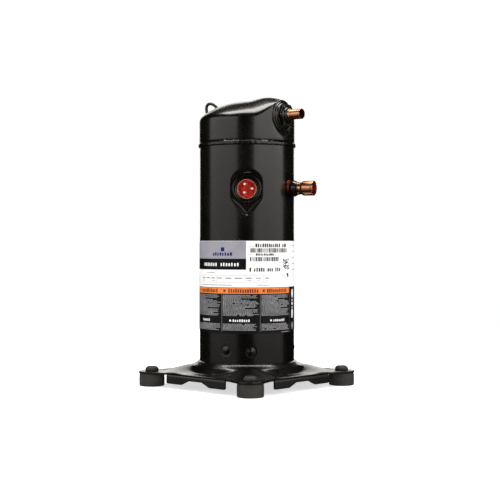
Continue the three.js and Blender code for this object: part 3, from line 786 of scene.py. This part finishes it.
def build_base():
    FL = 56.5                                   # half length of each flange
    BEND = 4.6                                  # outside radius of the fold
    tf = round(math.degrees(math.atan2(FL, SIDE - BEND)), 4)
    angs = set(np.round(np.arange(0, 360, 1.5), 4))
    for q in range(4):
        for s in (-1, 1):
            angs.add(round((90 * q + s * tf) % 360, 4))
            for d in (35.0, 36.0, 37.2, 38.2, 39.2, 40.2, 41.2, 42.2, 43.2, 44.2):
                angs.add(round((90 * q + s * d) % 360, 4))
        for u in (13.0, 27.5, 52.5, 54.4, 55.7, 56.2):
            for s in (-1, 1):
                angs.add(round((90 * q + s * math.degrees(math.atan2(u, SIDE - BEND))) % 360, 4))
    angs = sorted(angs)
    angs = [a for i, a in enumerate(angs) if i == 0 or a - angs[i - 1] > 0.02]
    verts, faces = [], []
    cols = {}

    def put(x, y, z):
        verts.append((x * MM, y * MM, z * MM))
        return len(verts) - 1

    def column(t, folded):
        c, s = math.cos(rad(t)), math.sin(rad(t))
        q = round(t / 90.0) * 90.0
        edge = outline_polar(t)
        loc = rad(t - q)
        if folded:
            edge = (SIDE - BEND) / math.cos(loc)
        rs = [67.3, 68.2, 69.2, 70.3, 71.5, 73.0, 75.0, 76.8, 78.2, 79.4, 80.6, 81.8, 83.2, 85.5, 88.5, 92.0]
        out = []
        for r in rs:
            out.append(put(r * c, r * s, plate_z(r * c, r * s)))
        inner = 92.0
        lim = (SIDE - BEND) / math.cos(loc) if abs(math.degrees(loc)) < tf + 6 else edge - 2.0
        lim = min(lim, edge)
        for k in range(1, 6):
            r = inner + (lim - inner) * k / 5
            out.append(put(r * c, r * s, plate_z(r * c, r * s)))
        if folded:
            nx, ny = math.cos(rad(q)), math.sin(rad(q))
            ux, uy = -ny, nx
            u = (SIDE - BEND) * math.tan(loc)
            for k in range(1, 7):
                a = rad(15 * k)
                d = SIDE - BEND + BEND * math.sin(a)
                z = PLATE_TOP - BEND + BEND * math.cos(a)
                out.append(put(nx * d + ux * u, ny * d + uy * u, z))
            au = abs(u)
            if au < 13:
                zb = 12.9
            elif au < 27.5:
                zb = 12.9 - 6.2 * (au - 13) / 14.5
            elif au > 52.5:
                zb = FLANGE_Z + 2.6 * (1 - math.sqrt(max(0, 1 - ((au - 52.5) / 4.2) ** 2)))
            else:
                zb = FLANGE_Z + 0.3
            for k in range(1, 5):
                z = (PLATE_TOP - BEND) + (zb - (PLATE_TOP - BEND)) * k / 4
                out.append(put(nx * SIDE + ux * u, ny * SIDE + uy * u, z))
        else:
            for k in range(1, 3):
                r = lim + (edge - lim) * k / 2
                if edge - lim < 0.05:
                    r = edge
                out.append(put(r * c, r * s, plate_z(r * c, r * s)))
        return out

    n = len(angs)
    for i, t in enumerate(angs):
        t2 = angs[(i + 1) % n]
        mid = (t + (t2 if t2 > t else t2 + 360)) / 2
        q = round(mid / 90.0) * 90.0
        folded = abs(mid - q) < tf
        for key in ((t, folded), (t2, folded)):
            if key not in cols:
                cols[key] = column(*key)
        a, b = cols[(t, folded)], cols[(t2, folded)]
        for k in range(min(len(a), len(b)) - 1):
            faces.append([a[k], b[k], b[k + 1], a[k + 1]])
    o = obj_from("base_plate_sheet", verts, faces, [PAINT_BASE], weld=2e-6)
    # keep normals upward before giving it thickness
    bm = bmesh.new(); bm.from_mesh(o.data)
    bmesh.ops.dissolve_degenerate(bm, dist=1e-6, edges=bm.edges)
    bmesh.ops.recalc_face_normals(bm, faces=bm.faces)
    up = sum(f.normal.z * f.calc_area() for f in bm.faces)
    if up < 0:
        bmesh.ops.reverse_faces(bm, faces=bm.faces)
    bm.to_mesh(o.data); bm.free()
    m = o.modifiers.new("gauge", "SOLIDIFY")
    m.thickness = THICK * MM
    m.offset = -1
    m.use_even_offset = False
    m.use_quality_normals = True
    apply_mods(o)
    for sx in (-1, 1):
        for sy in (-1, 1):
            c = revolve("cutter", [(0, 10), (8.1, 10), (8.1, 30), (0, 30)], [PAINT_BASE], seg=48)
            for v in c.data.vertices:
                v.co.x += sx * HOLE * MM
                v.co.y += sy * HOLE * MM
            bool_cut(o, c)
    m = o.modifiers.new("edges", "BEVEL")
    m.width = 0.55 * MM
    m.segments = 2
    m.limit_method = "ANGLE"
    m.angle_limit = rad(50)
    m.harden_normals = False
    apply_mods(o, sharp=50)
    return done(o, "shell", "gloss_black_paint", "base_plate")


base = build_base()

# ------------------------------------------------------------------ rubber feet
foot_prof = fillet_profile([
    (5.0, 0.0, 0.4), (16.6, 0.0, 1.0), (17.9, 0.9, 0.8), (18.0, 9.0, 0), (17.9, 15.6, 1.0), (17.1, 17.8, 0.6), (7.7, 17.8, 0.3), (7.7, 21.2, 0.3),
    (9.3, 21.2, 0.5), (9.6, 23.0, 1.0), (8.9, 25.3, 1.6), (6.6, 27.3, 1.4), (5.0, 27.5, 0.4)], closed=True, step=0.3)


def foot(name, x, y, node_name, phase):
    def shape(px, py, pz):
        r = math.hypot(px, py)
        a = math.atan2(py, px)
        if r > 15:
            k = 1 + 0.0022 * math.sin(a * 3 + phase) + 0.0011 * math.sin(a * 7 + phase * 2)
            px, py = px * k, py * k
        return px + x, py + y, pz
    o = revolve(name, foot_prof, [RUBBER], seg=96, deform=shape, sharp=45)
    return done(o, "shell", "rubber", node_name)


foot("foot_grommet_front", HOLE, -HOLE, "rubber_foot_front", 0.3)
foot("foot_grommet_right", HOLE, HOLE, "rubber_foot_right", 1.1)
foot("foot_grommet_back", -HOLE, HOLE, "rubber_foot_back", 2.2)
foot("foot_grommet_left", -HOLE, -HOLE, "rubber_foot_left", 3.7)

# ------------------------------------------------------------------ suction fitting
MS = radial_matrix(*SUC)
collar = revolve("suction_collar_turned", fillet_profile([
    (8.8, 60, 0), (9.2, 60, 0.2), (9.3, 67.2, 0.3), (10.6, 69.2, 0.6), (11.5, 71.4, 0.8), (11.4, 73.2, 0.8), (9.8, 75.8, 0.9), (9.2, 77.6, 0.4), (8.8, 77.8, 0.2)], closed=True), [PAINT], seg=72, matrix=MS)
done(collar, "shell", "gloss_black_paint", "suction_collar")
braze = revolve("suction_braze_ring", fillet_profile([
    (9.4, 64.6, 0), (12.6, 64.75, 0.2), (11.8, 65.9, 0.7), (10.6, 67.2, 0.8), (9.4, 68.2, 0.2)], closed=True), [BRAZE], seg=96, matrix=MS,
    deform=lambda x, y, z: (x * (1 + 0.012 * math.sin(9 * math.atan2(y, x))), y * (1 + 0.012 * math.sin(7 * math.atan2(y, x))), z))
done(braze, "shell", "copper")
stub_s = revolve("suction_stub_tube", fillet_profile([
    (7.5, 55, 0), (8.5, 55, 0), (8.5, 78.0, 0.1), (8.85, 78.6, 0.3), (8.6, 79.6, 0.4), (8.5, 83.0, 1.2), (10.2, 86.2, 1.3), (10.35, 87.6, 0.4), (10.35, 98.7, 0.1), (10.18, 99.2, 0.2), (10.42, 99.9, 0.3),
    (10.42, 101.2, 0.35), (10.1, 101.7, 0.2), (9.7, 101.7, 0.2), (9.6, 100.0, 0.2), (9.6, 87.0, 0.9), (7.5, 84.4, 0.9)], closed=True, step=0.2), [COPPER_S], seg=96, matrix=MS, sharp=60)
done(stub_s, "shell", "copper", "suction_stub")

# ------------------------------------------------------------------ discharge fitting
MD = radial_matrix(*DIS)
flange = revolve("discharge_flange_rings", fillet_profile([
    (7.9, 60, 0), (7.9, 61.0, 0), (21.4, 61.0, 0), (21.4, 63.9, 0.7), (19.3, 64.3, 0.2), (18.9, 65.9, 0.7), (17.2, 66.3, 0.3), (16.8, 68.4, 0.7), (14.0, 68.9, 0.2),
    (12.8, 69.0, 0.1), (12.4, 72.6, 0.2), (10.6, 73.6, 0.5), (10.2, 75.6, 0.8), (8.6, 76.6, 0.3), (7.9, 76.6, 0)], closed=True, step=0.25), [PAINT], seg=120, matrix=MD)
done(flange, "shell", "gloss_black_paint", "discharge_fitting")


def hexagon(name, rc, h0, h1, mat, matrix, turn):
    verts, faces = [], []
    lv = [(rc * 0.90, h0), (rc, h0 + 0.7), (rc, h1 - 1.3), (rc * 0.90, h1)]
    hole = 12.6
    n = 96
    rows = []
    def ringpts(f):
        out = []
        for j in range(n):
            a = 2 * math.pi * j / n
            out.append(f(a))
        return out
    def hexr(a, r):
        b = (a - turn + math.pi / 6) % (math.pi / 3) - math.pi / 6
        return r * math.cos(math.pi / 6) / math.cos(b)
    prof = [(hole, h0, False), (rc * 0.93, h0, False)] + [(r, h, True) for r, h in ((rc * 0.985, h0 + 0.5), (rc, h0 + 0.9), (rc, h1 - 1.0), (rc * 0.985, h1 - 0.45))] + [(rc * 0.90, h1, False), (hole, h1, False)]
    for r, h, hx in prof:
        start = len(verts)
        for j in range(n):
            a = 2 * math.pi * j / n
            q = hexr(a, r) if hx else min(r, hexr(a, rc * 0.985))
            verts.append(matrix @ Vector((q * math.cos(a) * MM, q * math.sin(a) * MM, h * MM)))
        rows.append(start)
    for i in range(len(rows)):
        a0, b0 = rows[i], rows[(i + 1) % len(rows)]
        for j in range(n):
            l = (j + 1) % n
            faces.append([a0 + j, a0 + l, b0 + l, b0 + j])
    return obj_from(name, verts, faces, [mat], sharp=32)


hexo = hexagon("discharge_hex_body", 16.6, 69.0, 72.4, PAINT, MD, math.pi / 2)
done(hexo, "shell", "gloss_black_paint")
stub_d = revolve("discharge_stub_tube", fillet_profile([
    (6.4, 52, 0), (7.1, 52, 0), (7.1, 76.8, 0.1), (8.3, 76.9, 0.2), (8.3, 78.6, 0.5), (7.15, 79.4, 0.4), (7.1, 94.2, 0.1), (6.98, 94.7, 0.1), (7.12, 95.3, 0.2), (7.12, 96.6, 0.3), (6.95, 97.0, 0.15),
    (6.5, 97.0, 0.15), (6.4, 96.0, 0.2)], closed=True, step=0.2), [COPPER_D], seg=96, matrix=MD, sharp=60)
done(stub_d, "shell", "copper", "discharge_stub")

# ------------------------------------------------------------------ electrical terminal
MT = radial_matrix(*TER)
cup = revolve("terminal_cup_pressed", fillet_profile([
    (13.6, 57.2, 0.2), (17.8, 57.2, 0.8), (19.9, 59.2, 0.8), (20.15, 65.0, 1.2), (17.7, 64.9, 1.1), (17.3, 61.8, 0.8), (16.2, 59.9, 0.9), (14.9, 59.5, 0.5), (13.6, 59.6, 0.2)], closed=True, step=0.25), [PAINT], seg=96, matrix=MT)
done(cup, "shell", "gloss_black_paint", "terminal_cup")
sealring = revolve("terminal_seal_ring", fillet_profile([
    (12.55, 57.8, 0), (13.55, 57.8, 0), (13.5, 60.9, 0.3), (13.0, 61.2, 0.3), (12.55, 60.8, 0.2)], closed=True, step=0.15), [SEALRING], seg=96, matrix=MT)
done(sealring, "shell", "copper")
PINS = [(-3.0, 6.5, "terminal_pin_c"), (7.4, 0.3, "terminal_pin_s"), (-3.2, -5.2, "terminal_pin_r")]


def glass_shape(x, y, z):
    if z > 59:
        for u, v, _ in PINS:
            d = math.hypot(x - u, y - v)
            z += 0.9 * math.exp(-((d / 2.7) ** 2))
        z -= 0.35 * math.exp(-(math.hypot(x, y) / 5.0) ** 2)
    return x, y, z


glass_prof = [(0, 57.8)] + [(12.45, 57.8), (12.5, 60.3), (12.2, 60.55)] + [(r, 60.0 + 0.45 * (r / 12.2) ** 6) for r in (11.6, 11, 10.2, 9.4, 8.6, 7.8, 7, 6.2, 5.4, 4.6, 3.8, 3, 2.2, 1.4, 0.7, 0)]
glass = revolve("terminal_glass_disc", glass_prof, [GLASS], seg=120, matrix=MT, deform=glass_shape, sharp=60)
done(glass, "shell", "terminal_glass", "terminal_glass")
# The pin posts use the pin material whose pale base colour is a painted highlight.
for u, v, nm in PINS:
    pin = revolve(nm + "_post", fillet_profile([
        (0, 50.6, 0), (1.5, 50.6, 0.3), (1.6, 60.6, 0.1), (1.6, 64.4, 0.2), (1.45, 65.6, 0.5), (0.8, 66.3, 0.3), (0, 66.4, 0)], step=0.15), [PIN_PAINTED_HIGHLIGHT], seg=32, matrix=MT @ Matrix.Translation((u * MM, v * MM, 0)), sharp=60)
    done(pin, "shell", "copper", nm)

# ------------------------------------------------------------------ lifting eye
def place(t, r, z, lat=0.0):
    s, c = math.sin(rad(t)), math.cos(rad(t))
    return (r * s + lat * c, -r * c + lat * s, z)


eye = tube_along("lifting_eye_strap", [place(EYE_AZ, 60.8, 381.6), place(EYE_AZ, 61.6, 386), place(EYE_AZ, 62.6, 391), place(EYE_AZ, 63.0, 396), place(EYE_AZ, 61.6, 400.4),
                 place(EYE_AZ, 57.8, 402.1), place(EYE_AZ, 53.6, 401.3), place(EYE_AZ, 49.4, 398.6), place(EYE_AZ, 46.2, 395.2), place(EYE_AZ, 44.0, 391.4)], 2.15, PAINT, seg=20, sub=8)
done(eye, "shell", "gloss_black_paint", "lifting_eye")

# ------------------------------------------------------------------ labels
LABEL_R = 67.36


def strip(verts, faces, fmats, s0, s1, z0, z1, r0, r1, mi, step=3.0, round_r=0.0):
    """One closed patch of film between arc positions s0..s1 (mm from the viewing line) and heights z0..z1."""
    n = max(1, int(math.ceil(abs(s1 - s0) / step)))
    base = len(verts)
    for i in range(n + 1):
        s = s0 + (s1 - s0) * i / n
        t = VIEW_AZ + math.degrees(s / 67.65)
        c, q = math.sin(rad(t)), -math.cos(rad(t))
        inset = 0.0
        if round_r > 0:
            e = min(s - s0, s1 - s)
            if e < round_r:
                inset = round_r - math.sqrt(max(0.0, round_r ** 2 - (round_r - e) ** 2))
        for (r, z) in ((r0, z0 + inset), (r1, z0 + inset), (r1, z1 - inset), (r0, z1 - inset)):
            verts.append((r * c * MM, r * q * MM, z * MM))
    for i in range(n):
        a, b = base + 4 * i, base + 4 * (i + 1)
        for k in range(4):
            l = (k + 1) % 4
            faces.append([a + k, b + k, b + l, a + l]); fmats.append(mi)
    e = base + 4 * n
    faces.append([base + 3, base + 2, base + 1, base]); fmats.append(mi)
    faces.append([e, e + 1, e + 2, e + 3]); fmats.append(mi)


def sheet_label(name, s0, s1, z0, z1, mats, mi, node_name):
    V, F, M = [], [], []
    strip(V, F, M, s0, s1, z0, z1, LABEL_R - 0.3, LABEL_R + 0.02, mi, step=1.6, round_r=2.0)
    o = obj_from(name, V, F, mats, sharp=30)
    return done(o, "shell", "label_film", node_name)


sheet_label("upper_label_film", -112, 100, 141.0, 204.7, [FILM], 0, "upper_label")
sheet_label("lower_label_film", -108, 93, 77.6, 140.7, [INK], 0, "lower_label")


def prints(name, items, mats):
    V, F, M = [], [], []
    for (s0, s1, z0, z1, mi, lift) in items:
        r = LABEL_R + 0.08 + 0.06 * lift
        strip(V, F, M, s0, s1, z0, z1, r - 0.05, r, mi, step=1.6)
    o = obj_from(name, V, F, mats, M, sharp=30)
    return done(o, "shell", "label_film")


def words(out, s0, s1, z, h, mi, lift, gap=0.55, lo=0.9, hi=3.6, fill=1.0, ragged=0.0):
    """A line of set type shown as plain word bars."""
    s = s0
    end = s1 - (rng.random() * ragged * (s1 - s0))
    while s < end - lo:
        w = min(rng.uniform(lo, hi), end - s)
        if rng.random() < fill:
            out.append((s, s + w, z, z + h * rng.uniform(0.85, 1.0), mi, lift))
        s += w + gap


def glyphs(out, s0, s1, z, h, mi, lift, pitch, duty=0.62, skip=()):
    """A line of larger type shown as a row of plain upright blocks."""
    i, s = 0, s0
    while s + pitch * duty <= s1 + 1e-6:
        if i not in skip:
            w = pitch * duty * rng.uniform(0.72, 1.0)
            out.append((s, s + w, z, z + h * rng.choice((1.0, 1.0, 0.9, 0.82)), mi, lift))
        s += pitch
        i += 1


UP_MATS = [LILAC, INK, BLUE, FILM, GREY]
up = []
up.append((-111.5, -1.2, 180.2, 204.3, 0, 0))            # tinted panel
up.append((-111.5, -1.2, 165.2, 180.2, 1, 0))            # dark strip
# plain emblem: a square block over a row of blocks
up.append((-37.9, -32.5, 190.4, 195.8, 2, 1))
glyphs(up, -52.0, -18.6, 184.3, 4.6, 2, 1, 4.0, duty=0.76)
glyphs(up, -72.0, -42.0, 170.0, 4.6, 3, 1, 4.1)
glyphs(up, -38.4, -9.0, 170.0, 4.6, 3, 1, 4.1)
# type and serial lines with their bar codes
words(up, 3.2, 9.6, 196.8, 0.9, 4, 1, hi=1.5)
glyphs(up, 11.6, 65.5, 195.9, 5.0, 1, 1, 3.3, duty=0.72, skip=(12,))
s = 4.2
while s < 64.0:
    w = rng.choice((0.55, 0.55, 1.1, 1.6))
    up.append((s, min(s + w, 64.2), 188.6, 194.6, 1, 1))
    s += w + rng.choice((0.6, 0.6, 1.1))
words(up, 3.6, 9.6, 185.2, 0.9, 4, 1, hi=1.5)
glyphs(up, 12.2, 41.2, 184.4, 3.1, 1, 1, 2.3, duty=0.76)
s = 4.2
while s < 47.4:
    w = rng.choice((0.55, 0.55, 1.1, 1.6))
    up.append((s, min(s + w, 47.8), 176.6, 182.6, 1, 1))
    s += w + rng.choice((0.6, 0.6, 1.1))
glyphs(up, 3.4, 51.5, 162.6, 5.4, 1, 1, 3.2, duty=0.72, skip=(1, 7, 11))
# two square codes
for zc in (173.0, 165.2):
    for i in range(9):
        for j in range(6):
            if rng.random() < 0.55:
                a = 56.6 + i * 1.62
                b = zc + j * 1.18
                up.append((a, a + 1.62, b, b + 1.18, 1, 1))
up.append((55.4, 56.2, 155.2, 159.6, 4, 1)); up.append((57.6, 58.3, 155.2, 159.6, 4, 1))
up.append((64.6, 68.6, 156.6, 160.2, 1, 1)); up.append((66.2, 69.4, 154.6, 157.0, 1, 1))
# data table
words(up, -66.0, -48.0, 160.6, 0.9, 4, 1)
for a, b in ((-78, -70), (-66, -58.5), (-55, -47.5), (-44, -36), (-31, -22), (-17, -6), (-2, 7), (13, 19), (26, 31)):
    words(up, a, b, 152.9, 1.5, 1, 1, lo=0.7, hi=1.6, gap=0.5)
    if rng.random() < 0.7:
        words(up, a + 1.4, b - 1.0, 149.6, 1.2, 4, 1, lo=0.7, hi=1.5, gap=0.5)
for zz in (157.2, 147.4):
    up.append((-79, 31.5, zz, zz + 0.3, 4, 1))
for ss in (-68.4, -56.6, -45.6, -33.6, -19.5, -4.0, 10.0, 23.0, 31.5):
    up.append((ss, ss + 0.22, 147.4, 157.4, 4, 1))
words(up, -80, -20, 143.4, 1.3, 4, 1, hi=2.6)
words(up, 14.5, 31, 143.4, 1.3, 4, 1, hi=2.6)
# far side: plain ruled block
for k in range(5):
    words(up, 82, 97, 198 - k * 8.4, 1.0, 4, 1, ragged=0.3)
prints("upper_label_print", up, UP_MATS)

LO_MATS = [ORANGE, RUST, TEXT, FILM, GREY]
lo = []
lo.append((-107, 71.6, 132.3, 140.4, 0, 0))
for a, b in ((-79, -43.5), (-26.2, 16.6), (28.2, 66.5)):
    glyphs(lo, a, b, 133.7, 5.2, 1, 1, 3.3, duty=0.74)
for c in (-32.2, 23.4, -86.0):
    lo.append((c - 1.7, c + 1.7, 134.6, 137.9, 1, 1))
for c in (-36.5, 18.4, 71.9):
    lo.append((c - 0.17, c + 0.17, 80.0, 131.6, 2, 1))
for a, b in ((-104, -38.5), (-34.9, 16.6), (20.2, 70.6)):
    z = 129.6
    row = 0
    while z > 101.3:
        cut = {3: 0.55, 4: 0.80, 11: 0.66, 15: 0.90}.get(row, 1.0)
        words(lo, a, a + (b - a) * cut * rng.uniform(0.90, 1.0), z, 1.05, 2, 1, gap=0.62, lo=0.8, hi=3.1, fill=0.98)
        z -= 1.62
        row += 1
    z = 90.2
    while z > 80.6:
        words(lo, a, a + (b - a) * rng.uniform(0.86, 1.0), z, 1.05, 2, 1, gap=0.62, lo=0.8, hi=3.1, fill=0.98)
        z -= 1.62
for a, b in ((-76, -57), (-20, 5.6), (38.6, 60.4)):
    glyphs(lo, a, b, 93.9, 3.4, 3, 1, 3.1, duty=0.66)
for c in (-23.6, 34.6):
    lo.append((c - 1.3, c + 1.3, 94.3, 96.8, 3, 1))
words(lo, 53, 70, 78.6, 0.9, 2, 1)
# pale rounded blocks in the narrow dark strip
for (zc, h, w) in ((131.5, 12, 6.5), (122.0, 2.2, 4.5), (117.2, 4.2, 5.5), (112.2, 1.8, 4.0), (103.5, 13, 6.0), (86.5, 9.5, 7.5)):
    n = 7
    for k in range(n):
        q = (k + 0.5) / n * 2 - 1
        ww = w * math.sqrt(max(0.05, 1 - q * q * 0.9))
        lo.append((82 - ww / 2, 82 + ww / 2, zc - h / 2 + h * k / n, zc - h / 2 + h * (k + 1) / n, 3 if zc > 90 else 4, 1))
prints("lower_label_print", lo, LO_MATS)

# ------------------------------------------------------------------ carried-over internals
SLOT_MATS = {
    "steel": STEEL, "cast_iron": IRON, "aluminium": ALU, "bronze": BRONZE, "lamination": LAMI, "winding": WIND,
    "moulded_plastic": MOULD, "lead_black": LEAD_K, "lead_red": LEAD_R, "lead_yellow": LEAD_Y, "rubber": RUBBER,
    "copper": COPPER_S, "gloss_black_paint": PAINT, "terminal_glass": GLASS, "label_film": FILM,
}
for sp in RECORD["subparts"]:
    o = frame["nodes"].get(sp["node"])
    if o is None:
        continue
    m = SLOT_MATS[sp["material_slot"]]
    if not o.material_slots:
        o.data.materials.append(m)
    for s in o.material_slots:
        s.material = m

# ------------------------------------------------------------------ stage and light
def plane(name, verts, mat):
    me = bpy.data.meshes.new(name)
    me.from_pydata(verts, [], [list(range(len(verts)))])
    me.materials.append(mat)
    o = bpy.data.objects.new(name, me)
    bpy.context.scene.collection.objects.link(o)
    return o


floor_mat, nt, b = principled("studio_floor")
v = coords(nt)
nt.links.new(ramp(nt, noise(nt, v, 3.0, 3.0), [(0.3, (0.90, 0.90, 0.90)), (0.7, (0.92, 0.92, 0.92))]), b.inputs["Base Color"])
b.inputs["Roughness"].default_value = 0.9
b.inputs["Emission Color"].default_value = (1, 1, 1, 1)
b.inputs["Emission Strength"].default_value = 0.62
b.inputs["Specular IOR Level"].default_value = 0.1
plane("studio_floor", [(1.15 * math.cos(2 * math.pi * k / 96), 1.15 * math.sin(2 * math.pi * k / 96), -0.0002) for k in range(96)], floor_mat).visible_glossy = False


def area(name, az, elev, dist, w, h, radiance, target=(0, 0, 0.2), color=(1.0, 0.965, 0.915)):
    L = bpy.data.lights.new(name, "AREA")
    L.shape = "RECTANGLE"
    L.size, L.size_y = w, h
    L.energy = radiance * math.pi * w * h
    L.color = color
    o = bpy.data.objects.new(name, L)
    bpy.context.scene.collection.objects.link(o)
    a = rad(VIEW_AZ + az)
    p = Vector((math.sin(a) * math.cos(rad(elev)), -math.cos(a) * math.cos(rad(elev)), math.sin(rad(elev)))) * dist + Vector(target)
    o.location = p
    o.rotation_euler = (Vector(target) - p).to_track_quat("-Z", "Y").to_euler()
    return o


# tall soft panels either side, brighter toward the top
LEVELS = (-0.75, -0.10, 0.02, 0.12, 0.22, 0.32, 0.43, 0.56, 1.35)
LEFT = (0.20, 0.30, 0.42, 0.56, 0.68, 0.82, 1.05, 1.35)
RIGHT = (0.22, 0.36, 0.54, 0.78, 0.98, 1.25, 1.60, 1.95)
for k in range(len(LEFT)):
    lo_z, hi_z = LEVELS[k], LEVELS[k + 1]
    mid, tall = (lo_z + hi_z) / 2, hi_z - lo_z
    area("softbox_left_%d" % k, -60.5, 0, 1.75, 2.70, tall, LEFT[k], target=(0, 0, mid))
    area("softbox_right_%d" % k, 56.0, 0, 1.75, 2.92, tall, RIGHT[k], target=(0, 0, mid))
area("softbox_top", 180, 84, 1.7, 1.9, 0.95, 8.6, target=(0, 0, 0.35))
area("softbox_back", 180, 17, 2.2, 1.5, 1.3, 1.55)

w = bpy.data.worlds.new("studio")
bpy.context.scene.world = w
w.use_nodes = True
nt = w.node_tree
bg = nt.nodes["Background"]
lp = node(nt, "ShaderNodeLightPath")
dark = node(nt, "ShaderNodeBackground")
dark.inputs["Color"].default_value = (0.012, 0.010, 0.008, 1)
dark.inputs["Strength"].default_value = 1.0
bg.inputs["Color"].default_value = (1, 1, 1, 1)
bg.inputs["Strength"].default_value = 1.02
fill = node(nt, "ShaderNodeBackground")
fill.inputs["Color"].default_value = (1, 1, 1, 1)
fill.inputs["Strength"].default_value = 0.42
soft = node(nt, "ShaderNodeMixShader")
nt.links.new(lp.outputs["Is Glossy Ray"], soft.inputs["Fac"])
nt.links.new(fill.outputs["Background"], soft.inputs[1])
nt.links.new(dark.outputs["Background"], soft.inputs[2])
mx = node(nt, "ShaderNodeMixShader")
nt.links.new(lp.outputs["Is Camera Ray"], mx.inputs["Fac"])
nt.links.new(soft.outputs["Shader"], mx.inputs[1])
nt.links.new(bg.outputs["Background"], mx.inputs[2])
nt.links.new(mx.outputs["Shader"], nt.nodes["World Output"].inputs["Surface"])

sc = bpy.context.scene
sc.view_settings.view_transform = "Standard"
sc.view_settings.look = "None"
sc.view_settings.exposure = 0.0
